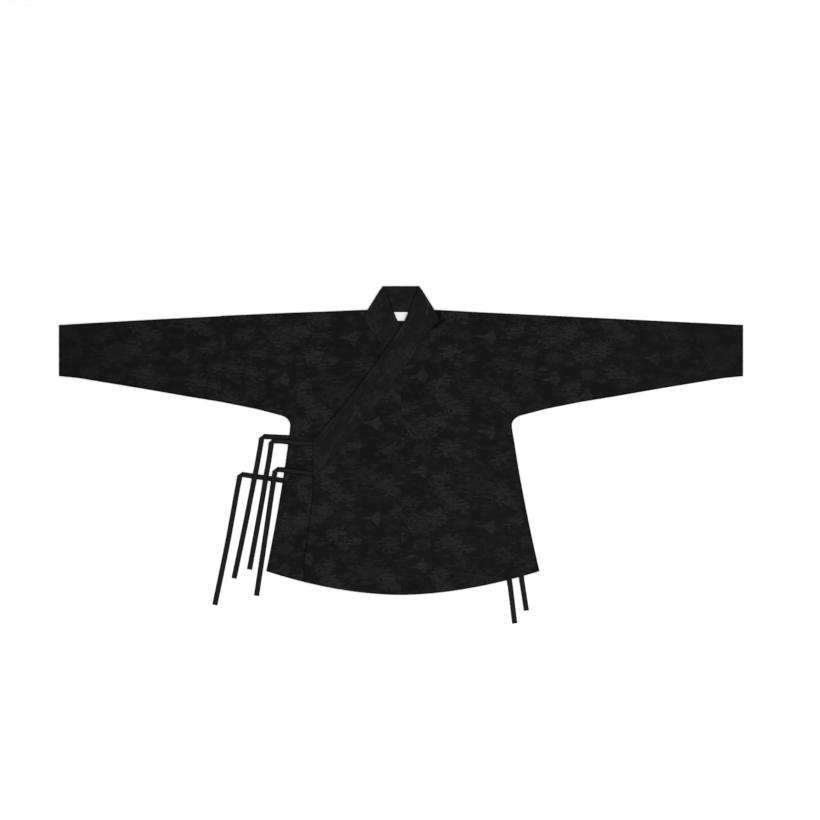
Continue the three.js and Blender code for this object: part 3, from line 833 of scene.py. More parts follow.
@dataclass
class BodyHalf:
    """One half of the body: front and back in one length, with the upper sleeve."""

    cut: Cut
    side: Side
    arm: Sequence[BandRow]
    centre_row: int
    height_at: HeightAt
    creases: Sequence[Crease]
    cloth_thickness: float = 0.7
    step: float = 4.0
    row_step: float = 4.0
    fine_step: float = 2.6
    fine_share: float = 0.46
    neck_ease: int = 8
    neck_gap: float = 1.8
    neck_parts: int = 16
    neck_dip_to: float = 40.0
    armpit_parts: int = 8
    turn_part: int = 4
    same_drop: float = 1e-6

    @property
    def columns(self) -> list[float]:
        """Return the shares of the way from the centre to the side, finer beside the neck."""
        fine = self.cut.chest_half * self.fine_share
        rest = self.cut.chest_half - fine
        inner = [self.fine_share * f for f in spacing(fine, self.fine_step, SEAM_LINES)]
        outer = [lerp(self.fine_share, 1.0, f) for f in spacing(rest, self.step, end=FOLD_LINES)]
        return inner + outer[1:]

    def plan(self) -> tuple[list[PlanRow], list[PlanRow]]:
        """Return the rows down the torso and the rows out along the upper sleeve."""
        cut = self.cut
        inner = [PlanPoint(row.seam.x, row.seam.y) for row in self.arm[: self.centre_row + 1]]
        for i in range(self.neck_ease):
            inner[i] = PlanPoint(inner[i].across + self.neck_gap * (1 - i / self.neck_ease), inner[i].drop)
        inner[-1] = PlanPoint(0.0, inner[-1].drop)
        armpit = cut.armpit(self.armpit_parts)
        turn = armpit[self.turn_part]
        free = turn.drop - inner[-1].drop
        plain = [inner[-1].drop + free * f for f in spacing(free, self.row_step, end=FOLD_LINES)][1:]
        plain += [point.drop for point in armpit[self.turn_part + 1 :]]
        starts = inner + [PlanPoint(0.0, drop) for drop in plain]
        columns = self.columns
        corner = [(point.drop, point.across) for point in armpit]
        torso = []
        for start in starts:
            outer = look_up(corner, max(start.drop, turn.drop))
            share = min(start.drop / turn.drop, 1.0)
            slope = (1 - share) * cut.shoulder_drop(cut.neck_half + 1, self.side)
            row = [lerp(start.across, outer, column) for column in columns]
            torso.append([PlanPoint(x, start.drop + slope * (x - start.across)) for x in row])
        depth = cut.hem_drop_centre - cut.hem_rise - cut.chest_drop
        for share in spacing(depth, self.row_step, end=HEM_LINES)[1:]:
            outer = cut.side_half(cut.chest_drop + depth * share, self.side)
            row = []
            for column in columns:
                x = outer * column
                row.append(PlanPoint(x, lerp(cut.chest_drop, cut.hem_drop(x, self.side), share)))
            torso.append(row)
        arm_rows = [row for row in torso if row[-1].drop <= turn.drop + self.same_drop]
        return torso, self.sleeve_plan(arm_rows, armpit[: self.turn_part + 1])

    def sleeve_plan(self, arm_rows: list[PlanRow], armpit: list[PlanPoint]) -> list[PlanRow]:
        """Return the rows of the upper sleeve, which go on from the torso's rows above the armpit.

        Args:
            arm_rows: The torso's rows that reach the sleeve.
            armpit: The armpit, from the under-sleeve seam to the turn where the last of them ends.

        Returns:
            The rows, from the shoulder fold down to the under-sleeve seam.
        """
        cut = self.cut
        turn = armpit[-1]
        top = arm_rows[0][-1].drop
        reach = cut.sleeve_join - cut.armpit_start.across
        outer = [cut.armpit_start.across + reach * f for f in spacing(reach, self.step, end=SEAM_LINES)]
        columns = list(reversed(armpit)) + [PlanPoint(x, look_up(cut.under_sleeve, x)) for x in outer[1:]]
        first = cut.shoulder_drop(turn.across, self.side)
        rows = []
        for arm_row in arm_rows:
            share = (arm_row[-1].drop - top) / (turn.drop - top)
            row = []
            for x, under in columns:
                upper = top + cut.shoulder_drop(x, self.side) - first
                row.append(PlanPoint(x, lerp(upper, under, share)))
            rows.append(row)
        return rows

    def back_neck(self, torso: list[PlanRow]) -> list[PlanRow]:
        """Return the rows of the back's neck, from the centre back to the front's neck edge."""
        cut = self.cut
        rows = []
        for row in torso[: self.centre_row + 1]:
            dip_share = 1 - ease(row[0].drop, 0.0, self.neck_dip_to)
            line = []
            for i in range(self.neck_parts + 1):
                share = i / self.neck_parts
                dip = cut.back_neck_drop * (1 - share**2) * dip_share
                line.append(PlanPoint(row[0].across * share, row[0].drop + dip))
            rows.append(line)
        return rows

    def build(self) -> bpy.types.Object:
        """Make the half."""
        torso, sleeve = self.plan()
        neck = self.back_neck(torso)
        below = len(sleeve)
        shoulder = torso[0] + sleeve[0][1:]
        under_arm = list(reversed(sleeve[-1])) + [row[-1] for row in torso[below:]]
        outline = Outline(
            seams=Edges([[row[0] for row in torso], [row[-1] for row in sleeve]]),
            hems=Edges([torso[-1]]),
            folds=Edges([shoulder, under_arm]),
        )
        centre_back = [row[0] for row in neck] + [row[0] for row in torso[self.centre_row :]]
        back_outline = Outline(
            seams=Edges([neck[0], centre_back, [row[-1] for row in sleeve]]),
            hems=outline.hems,
            folds=outline.folds,
        )
        layers = Layers(self.cut, self.side, self.height_at, self.creases, BODY_GRAIN[self.side])
        turned = self.side is Side.RIGHT
        fronts = [layers.front(rows, outline) for rows in (torso, sleeve)]
        backs = [layers.back(rows, back_outline) for rows in (torso, sleeve, neck)]
        cloth = Cloth()
        for rows in fronts:
            cloth.add_grid(rows, turned)
        for rows in backs:
            cloth.add_grid(rows, not turned)
        (front_torso, front_sleeve), (back_torso, back_sleeve, _) = fronts, backs
        tops = [front_torso[0] + front_sleeve[0][1:], back_torso[0] + back_sleeve[0][1:]]
        unders = [
            front_sleeve[-1][::-1] + [row[-1] for row in front_torso[below:]],
            back_sleeve[-1][::-1] + [row[-1] for row in back_torso[below:]],
        ]
        for upper, lower in (tops, unders):
            cloth.add_grid(layers.fold(upper, lower), turned)
        piece = cloth.make(f"cloth_{self.node}", self.cloth_thickness)
        area = 2 * (plan_area(torso) + plan_area(sleeve)) + plan_area(neck)
        size = (self.cut.sleeve_join, 2 * self.cut.hem_drop_centre)
        Piece(self.node, Slot.JACQUARD, size, area).hand_over(piece)
        return piece

    @property
    def rests_on(self) -> list[str]:
        """Return what it lies on besides the floor: the left front lies over the right one."""
        if self.side is Side.RIGHT:
            return []
        return ["overlap_right", "tie_right_lap_inner", "tie_left_side_inner"]

    @property
    def node(self) -> str:
        """Return the name of the node that the half stands for."""
        return f"body_{self.side.name.lower()}"


@dataclass
class LowerSleeve:
    """A lower sleeve: a flat tube from its join to the open cuff."""

    cut: Cut
    side: Side
    height_at: HeightAt
    creases: Sequence[Crease]
    cloth_thickness: float = 0.7
    step: float = 4.0
    depth: float = 170.0

    @property
    def node(self) -> str:
        """Return the name of the node that the sleeve stands for."""
        return f"sleeve_{self.side.name.lower()}"

    def plan(self) -> list[PlanRow]:
        """Return the rows out along the sleeve, from its upper fold to its lower one."""
        cut = self.cut
        length = cut.span / 2 - cut.sleeve_join
        columns = [cut.sleeve_join + length * f for f in spacing(length, self.step, SEAM_LINES, HEM_LINES)]
        rows = []
        for share in spacing(self.depth, self.step, FOLD_LINES, FOLD_LINES):
            edges = [(x, cut.shoulder_drop(x, self.side), look_up(cut.under_sleeve, x)) for x in columns]
            rows.append([PlanPoint(x, lerp(upper, under, share)) for x, upper, under in edges])
        return rows

    def build(self) -> bpy.types.Object:
        """Make the sleeve."""
        rows = self.plan()
        outline = Outline(
            seams=Edges([[row[0] for row in rows]]),
            hems=Edges([[row[-1] for row in rows]]),
            folds=Edges([rows[0], rows[-1]]),
        )
        layers = Layers(self.cut, self.side, self.height_at, self.creases, SLEEVE_GRAIN[self.side])
        front = layers.front(rows, outline)
        back = layers.back(rows, outline)
        turned = self.side is Side.RIGHT
        cloth = Cloth()
        cloth.add_grid(front, turned).add_grid(back, not turned)
        cloth.add_grid(layers.fold(front[0], back[0]), turned)
        cloth.add_grid(layers.fold(front[-1][::-1], back[-1][::-1]), turned)
        piece = cloth.make(f"cloth_{self.node}", self.cloth_thickness)
        length = self.cut.span / 2 - self.cut.sleeve_join
        around = 2 * (look_up(self.cut.under_sleeve, self.cut.sleeve_join) - self.cut.shoulder_fall / 2)
        Piece(self.node, Slot.JACQUARD, (length, around), 2 * plan_area(rows)).hand_over(piece)
        return piece


@dataclass
class OverlapPanel:
    """An overlap panel, from the centre front seam to its free edge."""

    cut: Cut
    side: Side
    arm: Sequence[BandRow]
    centre_row: int
    height_at: HeightAt
    creases: Sequence[Crease]
    cloth_thickness: float = 0.7
    step: float = 4.0

    @property
    def node(self) -> str:
        """Return the name of its node: the left front's panel lies on the wearer's right side."""
        return "overlap_left" if self.side is Side.RIGHT else "overlap_right"

    def plan(self) -> list[PlanRow]:
        """Return its rows, from the collar's seam down to the hem."""
        cut = self.cut
        tops = [PlanPoint(-row.seam.x, row.seam.y) for row in self.arm[self.centre_row :]]
        wide = cut.lap_half + cut.lap_flare
        foot = cut.hem_drop(wide, self.side)
        last = tops[-1].drop
        rows = []
        for share in spacing(foot - last, self.step, SEAM_LINES, HEM_LINES):
            reach = cut.lap_reach(lerp(last, foot, share))
            row = []
            for across, drop in tops:
                hem = cut.hem_drop(across * wide / cut.lap_half, self.side)
                x = max(reach * across / cut.lap_half, 0.0)
                row.append(PlanPoint(x, lerp(drop, hem, share)))
            rows.append(row)
        return rows

    def build(self) -> bpy.types.Object:
        """Make the panel."""
        rows = self.plan()
        outline = Outline(
            seams=Edges([rows[0], [row[0] for row in rows]]),
            hems=Edges([rows[-1], [row[-1] for row in rows]]),
            folds=Edges([]),
        )
        layers = Layers(self.cut, self.side, self.height_at, self.creases, OVERLAP_GRAIN)
        cloth = Cloth()
        cloth.add_grid(layers.front(rows, outline), self.side is Side.RIGHT)
        piece = cloth.make(f"cloth_{self.node}", self.cloth_thickness)
        size = (self.cut.lap_half + self.cut.lap_flare, rows[-1][0].drop - rows[0][0].drop)
        Piece(self.node, Slot.JACQUARD, size, plan_area(rows)).hand_over(piece)
        return piece


NECK_CREASES = (
    Crease(-27.0, -30.0, 86.0, 62.0, 3.4, 0.5, 1.0),
    Crease(-9.0, -26.0, 92.0, 70.0, 3.0, 0.38, -1.0),
    Crease(8.0, -32.0, 88.0, 56.0, 2.6, 0.45, 1.0),
    Crease(25.0, -28.0, 95.0, 66.0, 3.2, 0.5, -1.5),
    Crease(41.0, -20.0, 99.0, 44.0, 2.8, 0.35, 0.0),
)
COLLAR_CREASES = (
    Crease(-28.0, 132.0, 140.0, 34.0, 3.0, 0.45, 1.0),
    Crease(-62.0, 158.0, 118.0, 40.0, 3.6, 0.4, -1.0),
    Crease(30.0, 70.0, 146.0, 30.0, 2.8, 0.35, 1.0),
    Crease(-124.0, 226.0, 128.0, 38.0, 4.0, 0.35, 1.0),
    Crease(-176.0, 282.0, 136.0, 30.0, 3.0, 0.4, 0.0),
)


@dataclass
class Collar:
    """The collar: the left arm over the right one, both folded from the standing part behind the neck."""

    cut: Cut
    stack: Stack
    arm: Sequence[BandRow]
    band_thickness: float = 1.3
    step: float = 4.0
    crown: float = 0.2
    crown_reach: float = 14.0
    crease_ease: float = 3.0
    corner_bulge: float = 0.15
    corner_reach: float = 14.0
    behind_parts: int = 40
    grain_shift: Vector = field(default_factory=lambda: Vector((58.0, 20.0)))

    @property
    def shares(self) -> list[float]:
        """Return the places across the band, from its free edge to its seam."""
        return spacing(self.cut.collar_width, self.step, FOLD_LINES, SEAM_LINES)

    def lay_arm(self, side: Side, height_at: HeightAt) -> list[list[Vector]]:
        """Lay one arm of the band on what lies beneath it."""
        rows = []
        for row in self.arm:
            line = []
            for share in self.shares:
                flat = row.edge.lerp(row.seam, share)
                x = side.value * flat.x
                inside = ease(min(share, 1 - share) * self.cut.collar_width, 0.0, self.crown_reach)
                height = height_at(x, flat.y) + self.cut.collar_wall / 2 + self.crown * inside
                if side is Side.LEFT:
                    height += inside * sum(crease.lift(x, flat.y) for crease in COLLAR_CREASES)
                line.append(self.cut.at(x, flat.y, height))
            rows.append(line)
        return rows

    def flat_row(self, row: Sequence[Vector]) -> list[Vector]:
        """Return a row as it lies flat behind the neck."""
        return [Vector((place.x, place.y, self.cut.collar_wall / 2)) for place in row]

    def turn(self, row: Sequence[Vector], turned: bool) -> list[list[Vector]]:
        """Return the rows round the fold at the side of the neck, from the flat part up to an arm."""
        widths = [share * self.cut.collar_width for share in self.shares]
        bulges = [lerp(self.corner_bulge, 1.0, ease(width, 0.0, self.corner_reach)) for width in widths]
        folded = fold_rows(row[::-1], self.flat_row(row)[::-1], turned, bulges[::-1])[::-1]
        last = len(FOLD_ANGLES) - 1
        return [[points[last - k] for points in folded] for k in range(1, last)]

    def behind(self, left: Sequence[Vector], right: Sequence[Vector]) -> list[list[Vector]]:
        """Return the rows of the standing part, which lies flat behind the neck."""
        rows = []
        for k in range(self.behind_parts + 1):
            along = k / self.behind_parts
            middle = 1 - (2 * along - 1) ** 2
            line = []
            for share, start, end in zip(self.shares, self.flat_row(left), self.flat_row(right)):
                here = start.lerp(end, along)
                here.y -= self.cut.back_neck_drop * middle * share
                drop = self.cut.origin_drop - here.y
                fade = min(middle * self.crease_ease, 1.0)
                here.z += fade * sum(crease.lift(here.x, drop) for crease in NECK_CREASES)
                line.append(here)
            rows.append(line)
        return rows

    def build(self) -> bpy.types.Object:
        """Make the collar."""
        left = self.lay_arm(Side.LEFT, self.stack.over_front)
        right = self.lay_arm(Side.RIGHT, self.stack.under_front)
        # The second number of each stretch is its painted shade: full round the folds beside the neck.
        stretches = [
            (left[::-1], 0.0),
            (self.turn(left[0], True)[::-1], 1.0),
            (self.behind(left[0], right[0]), 0.0),
            (self.turn(right[0], False), 1.0),
            (right, 0.0),
        ]
        rows = [row for stretch, _ in stretches for row in stretch]
        folds = [fold for stretch, fold in stretches for _ in stretch]
        along = distances(rows)
        finish = Finish()
        points = []
        for row, far, fold in zip(rows, along, folds):
            to_end = min(far, along[-1] - far)
            line = []
            for share, place in zip(self.shares, row):
                across = share * self.cut.collar_width
                # Painted shade near the free edge, the seam and the ends, and full on the folds.
                rim = max(fold, finish.rim(min(across, to_end), self.cut.collar_width - across))
                line.append(ClothPoint(place, Vector((far, across)) + self.grain_shift, rim))
            points.append(line)
        piece = Cloth().add_grid(points).make("cloth_collar", self.band_thickness)
        size = (self.cut.collar_width, along[-1])
        area = self.cut.collar_width * along[-1]
        Piece("collar", Slot.COLLAR, size, area).hand_over(piece)
        return piece


class Stop(NamedTuple):
    """A stop on a tie's middle line, with the level of its underside."""

    x: float
    drop: float
    level: float


# Levels of a tie's underside.
FLOOR = 0.0
ON_TIE = 1.5
ON_BACK = 1.3
ON_FRONT = 2.6
IN_SIDE_SEAM = 0.55
UNDER_LAP = 1.85


@dataclass
class Tie:
    """A tie: its run from the seam and, past a folded corner, its leg."""

    cut: Cut
    node: str
    run: Sequence[Stop]
    leg: Sequence[Stop] = ()
    width: float = 12.0
    strip_thickness: float = 0.9
    step: float = 4.0
    corner_clear: float = 9.0
    crown: float = 0.12
    # Where the painted shade along the edges eases out.
    edge_shade_start: float = 0.8
    edge_shade_width: float = 3.4
    half_shares: tuple[float, ...] = (1.0, 0.9, 0.7, 0.36)

    @property
    def shares(self) -> list[float]:
        """Return the places across the strip, from 1 on its left to -1 on its right."""
        return [*self.half_shares, 0.0, *(-share for share in reversed(self.half_shares))]

    def line(self, stops: Sequence[Vector]) -> list[Vector]:
        """Run a fine line through stops, bent softly in plan and eased from level to level.

        Args:
            stops: The stops of the middle line.

        Returns:
            The points of the line.
        """
        chords = [(b - a).xy.normalized() for a, b in pairwise(stops)]
        headings = [(a + b).normalized() for a, b in zip([chords[0], *chords], [*chords, chords[-1]])]
        path = [stops[0].copy()]
        for i, (start, end) in enumerate(pairwise(stops)):
            length = (end - start).xy.length
            count = max(1, math.ceil(length / self.step))
            for k in range(1, count + 1):
                t = k / count
                place = start.lerp(end, ease(t, 0.0, 1.0))
                bend = headings[i] * t * (1 - t) ** 2 - headings[i + 1] * t * t * (1 - t)
                place.xy += bend * length
                path.append(place)
        return path

    def strip(self, path: Sequence[Vector], away_from: Vector | None) -> list[list[Vector]]:
        """Widen a line to a strip, leaving out what is too close to the folded corner."""
        rows = []
        for i, here in enumerate(path):
            if away_from is not None and (here - away_from).xy.length < self.corner_clear:
                continue
            heading = (path[min(i + 1, len(path) - 1)] - path[max(i - 1, 0)]).xy.normalized()
            sideways = Vector((-heading.y, heading.x, 0.0)) * self.width / 2
            up = Vector((0.0, 0.0, self.crown))
            rows.append([here + sideways * share + up * (1 - share * share) for share in self.shares])
        return rows

    def corner(self, before: Vector, here: Vector, after: Vector) -> list[list[Vector]]:
        """Return the rows round the fold where the leg turns back over the run."""
        arriving = (here - before).xy.normalized()
        leaving = (after - here).xy.normalized()
        crease = (arriving + leaving).normalized()
        outwards = (arriving - crease * arriving.dot(crease)).normalized()
        half = self.width / 2 / math.sin(arriving.angle(crease))
        side = math.copysign(1.0, arriving.x * leaving.y - arriving.y * leaving.x)
        radius = ON_TIE / 2
        reach = Vector((crease.x, crease.y, 0.0)) * half * side
        rows = []
        for angle in FOLD_ANGLES:
            bulge = Vector((outwards.x, outwards.y, 0.0)) * radius * math.sin(angle)
            lift = Vector((0.0, 0.0, radius * (1 - math.cos(angle))))
            rows.append([here + bulge + lift + reach * share for share in self.shares])
        return rows

    def build(self) -> bpy.types.Object:
        """Make the tie."""
        half_wall = self.cut.tie_wall / 2
        run = [self.cut.at(stop.x, stop.drop, stop.level + half_wall) for stop in self.run]
        if self.leg:
            leg = [self.cut.at(stop.x, stop.drop, stop.level + half_wall) for stop in self.leg]
            end = run[-1]
            top = end + Vector((0.0, 0.0, ON_TIE))
            ahead = Vector((leg[0].x - end.x, leg[0].y - end.y, 0.0)).normalized()
            clear = top + ahead * self.corner_clear
            rows = self.strip(self.line(run), end)
            rows += self.corner(run[-2], end, leg[0])
            rows += [row[::-1] for row in self.strip(self.line([top, clear, *leg]), end)]
        else:
            rows = self.strip(self.line(run), None)
        along = distances(rows)
        points = []
        for row, far in zip(rows, along):
            to_end = min(far, along[-1] - far)
            line = []
            for share, place in zip(self.shares, row):
                away = min((1 - abs(share)) * self.width / 2, to_end)
                # Painted shade along the strip's edges and ends.
                rim = 1 - ease(away, self.edge_shade_start, self.edge_shade_width)
                line.append(ClothPoint(place, Vector((far, share * self.width / 2)), rim))
            points.append(line)
        piece = Cloth().add_grid(points).make(f"cloth_{self.node}", self.strip_thickness)
        size = (self.width, along[-1])
        Piece(self.node, Slot.TIE, size, self.width * along[-1]).hand_over(piece)
        return piece


TIES = {
    "tie_right_side_upper": (
        (
            Stop(-257.0, 297.9, IN_SIDE_SEAM),
            Stop(-264.0, 297.4, IN_SIDE_SEAM),
            Stop(-276.0, 296.8, FLOOR),
            Stop(-325.0, 294.6, FLOOR),
        ),
        (
            Stop(-329.0, 318.0, FLOOR),
            Stop(-337.5, 366.0, FLOOR),
            Stop(-339.8, 378.0, ON_TIE),
            Stop(-345.0, 404.0, ON_TIE),
            Stop(-347.4, 416.0, FLOOR),
            Stop(-364.0, 500.0, FLOOR),
            Stop(-390.5, 626.6, FLOOR),
        ),
    ),
    "tie_left_lap_upper": (
        (
            Stop(-201.0, 312.2, UNDER_LAP),
            Stop(-208.0, 311.9, UNDER_LAP),
            Stop(-218.0, 311.4, ON_FRONT),
            Stop(-250.0, 309.6, ON_FRONT),
            Stop(-272.0, 306.2, ON_FRONT),
            Stop(-286.0, 305.2, ON_TIE),
            Stop(-302.4, 304.8, ON_TIE),
        ),
        (
            Stop(-305.6, 328.0, FLOOR),
            Stop(-312.5, 370.0, FLOOR),
            Stop(-314.5, 381.0, ON_TIE),
            Stop(-318.5, 406.0, ON_TIE),
            Stop(-320.5, 418.0, FLOOR),
            Stop(-335.0, 500.0, FLOOR),
            Stop(-354.5, 605.8, FLOOR),
        ),
    ),
    "tie_right_side_lower": (
        (
            Stop(-272.0, 398.4, IN_SIDE_SEAM),
            Stop(-279.0, 397.4, IN_SIDE_SEAM),
            Stop(-292.0, 395.4, FLOOR),
            Stop(-330.0, 389.8, FLOOR),
            Stop(-376.0, 383.0, FLOOR),
        ),
        (Stop(-380.7, 407.0, FLOOR), Stop(-405.0, 540.0, FLOOR), Stop(-435.5, 688.8, FLOOR)),
    ),
    "tie_left_lap_lower": (
        (
            Stop(-201.0, 382.3, UNDER_LAP),
            Stop(-208.0, 381.5, UNDER_LAP),
            Stop(-218.0, 380.2, ON_FRONT),
            Stop(-256.0, 375.6, ON_FRONT),
            Stop(-275.5, 372.8, ON_FRONT),
            Stop(-284.0, 372.2, FLOOR),
            Stop(-293.5, 371.4, FLOOR),
        ),
        (
            Stop(-297.0, 392.0, ON_TIE),
            Stop(-299.8, 410.0, ON_TIE),
            Stop(-302.0, 424.0, FLOOR),
            Stop(-313.0, 500.0, FLOOR),
            Stop(-338.0, 667.3, FLOOR),
        ),
    ),
    "tie_right_lap_inner": (
        (
            Stop(212.4, 352.0, ON_BACK),
            Stop(232.0, 500.0, ON_BACK),
            Stop(254.5, 638.0, ON_BACK),
            Stop(256.7, 654.0, FLOOR),
            Stop(266.0, 731.9, FLOOR),
        ),
        (),
    ),
    "tie_left_side_inner": (
        (
            Stop(259.0, 323.0, ON_BACK),
            Stop(270.0, 480.0, ON_BACK),
            Stop(282.4, 630.0, ON_BACK),
            Stop(285.0, 647.0, FLOOR),
            Stop(293.4, 702.0, FLOOR),
        ),
        (),
    ),
}


@dataclass
class NeckLabel:
    """The plain label sewn inside the back neck."""

    cut: Cut
    half: float = 22.0
    top: float = 3.9
    bottom: float = 24.0
    tape_wall: float = 0.7
    tape_thickness: float = 0.5
    step: float = 1.6
    turned_rise: float = 0.12
    turned: tuple[float, float] = (0.8, 2.4)
    wave_height: float = 0.1
    wave_turns: tuple[float, float] = (0.31, 0.5)
    wave_start: float = 1.0
    wave_margin: float = 4.0
    # Where the painted shade along the edges eases out.
    rim: tuple[float, float] = (0.1, 0.8)

    def wave(self, x: float, drop: float) -> float:
        """Return how far the tape waves up at a place."""
        across = math.sin(x * self.wave_turns[0] + self.wave_start)
        return self.wave_height * across * math.sin(drop * self.wave_turns[1])

    def build(self) -> bpy.types.Object:
        """Make the label."""
        width = 2 * self.half
        height = self.bottom - self.top
        across = [lerp(-self.half, self.half, f) for f in spacing(width, self.step, TAPE_LINES, TAPE_LINES)]
        down = [lerp(self.top, self.bottom, f) for f in spacing(height, self.step, TAPE_LINES, TAPE_LINES)]
        rows = []
        for drop in down:
            line = []
            for x in across:
                away = min(self.half - abs(x), drop - self.top, self.bottom - drop)
                z = ON_BACK + self.tape_wall / 2 + self.turned_rise * (1 - ease(away, *self.turned))
                z += self.wave(x, drop) * ease(away, 0.0, self.wave_margin)
                # Painted shade along the label's edges, which the plain tape finish does not read.
                rim = 1 - ease(away, *self.rim)
                line.append(ClothPoint(self.cut.at(x, drop, z), Vector((x, drop)), rim))
            rows.append(line)
        piece = Cloth().add_grid(rows).make("tape_neck_label", self.tape_thickness)
        size = (width, height)
        Piece("neck_label", Slot.LABEL, size, width * height).hand_over(piece)
        return piece


@dataclass
class Stitching:
    """Rows of small stitches on cloth, all copied from one that is modelled first."""

    name: str
    length: float = 2.3
    width: float = 0.42
    pitch: float = 3.2
    stand_out: float = 0.06
    sewn_from: float = 60.0
    least_facing: float = 0.5
    segments: int = 6
    rings: int = 5
    places: list[tuple[Vector, Vector, Vector]] = field(default_factory=list)

    def model(self) -> bpy.types.Object:
        """Model one stitch at the origin, along X."""
        deselect_all()
        bpy.ops.mesh.primitive_uv_sphere_add(
            segments=self.segments,
            ring_count=self.rings,
            radius=0.5,
            rotation=(0.0, math.pi / 2, 0.0),
        )
        stitch = bpy.context.active_object
        bpy.ops.object.transform_apply(location=False, rotation=True, scale=False)
        bpy.ops.object.mode_set(mode="EDIT")
        bpy.ops.mesh.select_all(action="SELECT")
        bpy.ops.transform.resize(value=(self.length * MM, self.width * MM, self.width * MM))
        bpy.ops.object.mode_set(mode="OBJECT")
        return stitch

    def sew(self, piece: bpy.types.Object, line: Sequence[Vector]) -> Stitching:
        """Place stitches on a piece, straight below a line.

        Args:
            piece: The cloth that they are sewn through.
            line: Points above the row of stitches, in millimetres.

        Returns:
            This stitching.
        """
        down = Vector((0.0, 0.0, -1.0))
        left_over = self.pitch / 2
        for start, end in pairwise(line):
            stretch = (end - start).length
            heading = (end - start).normalized()
            while left_over < stretch:
                middle = start + heading * left_over
                left_over += self.pitch
                above = Vector((middle.x, middle.y, self.sewn_from)) * MM
                hit, place, normal, _ = piece.ray_cast(above, down)
                if hit and normal.z > self.least_facing:
                    self.places.append((place, heading, normal))
            left_over -= stretch
        return self

    def build(self, slot: Slot) -> bpy.types.Object:
        """Copy the stitch to every place and join the copies.

        Args:
            slot: The material slot that the thread belongs to. It is not used.

        Returns:
            The stitches, as one object.
        """
        stitch = self.model()
        corners = [vertex.co.copy() for vertex in stitch.data.vertices]
        cells = [tuple(polygon.vertices) for polygon in stitch.data.polygons]
        points = []
        faces = []
        for place, heading, normal in self.places:
            side = normal.cross(heading).normalized()
            ahead = side.cross(normal)
            first = len(points)
            out = self.stand_out * MM
            points += [place + ahead * c.x + side * c.y + normal * (c.z + out) for c in corners]
            faces += [tuple(first + k for k in cell) for cell in cells]
        mesh = bpy.data.meshes.new(self.name)
        mesh.from_pydata(points, [], faces)
        bpy.data.objects.remove(stitch)
        joined = bpy.data.objects.new(self.name, mesh)
        bpy.context.collection.objects.link(joined)
        activate(joined)
        bpy.ops.object.shade_smooth()
        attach(joined, BODY)
        LOG.info("%s: %d stitches", self.name, len(self.places))
        return joined


@dataclass(frozen=True)
class Sewing:
    """Where rows of stitches run on the top."""

    cut: Cut
    turn_up: float = 8.4
    inset: float = 3.0
    step: float = 6.0
    left_hem: tuple[float, float] = (3.0, 312.0)
    over_hem: tuple[float, float] = (3.0, 217.0)
    right_hem: tuple[float, float] = (232.0, 304.0)
    lap_row: tuple[float, float] = (306.0, 620.0)

    def along(self, start: float, end: float) -> list[float]:
        """Return even steps from start to end."""
        count = max(1, round(abs(end - start) / self.step))
        return [lerp(start, end, i / count) for i in range(count + 1)]

    def hem(self, side: Side, start: float, end: float) -> list[Vector]:
        """Return a row along the hem of the front, between two distances from the centre."""
        places = self.along(start, end)
        return [self.cut.at(side.value * x, self.cut.hem_drop(x, side) - self.turn_up, 0.0) for x in places]

    def lap(self) -> list[Vector]:
        """Return the row down the over lap's free edge."""
        drops = self.along(*self.lap_row)
        return [self.cut.at(self.turn_up - self.cut.lap_reach(drop), drop, 0.0) for drop in drops]

    def cuff(self, side: Side) -> list[Vector]:
        """Return a row round the front of a cuff."""
        across = self.cut.span / 2 - self.turn_up
        upper = self.cut.shoulder_drop(across, side) + self.inset
        under = look_up(self.cut.under_sleeve, across) - self.inset
        return [self.cut.at(side.value * across, drop, 0.0) for drop in self.along(upper, under)]


# ---------------------------------------------------------------- finishes


Socket = bpy.types.NodeSocket


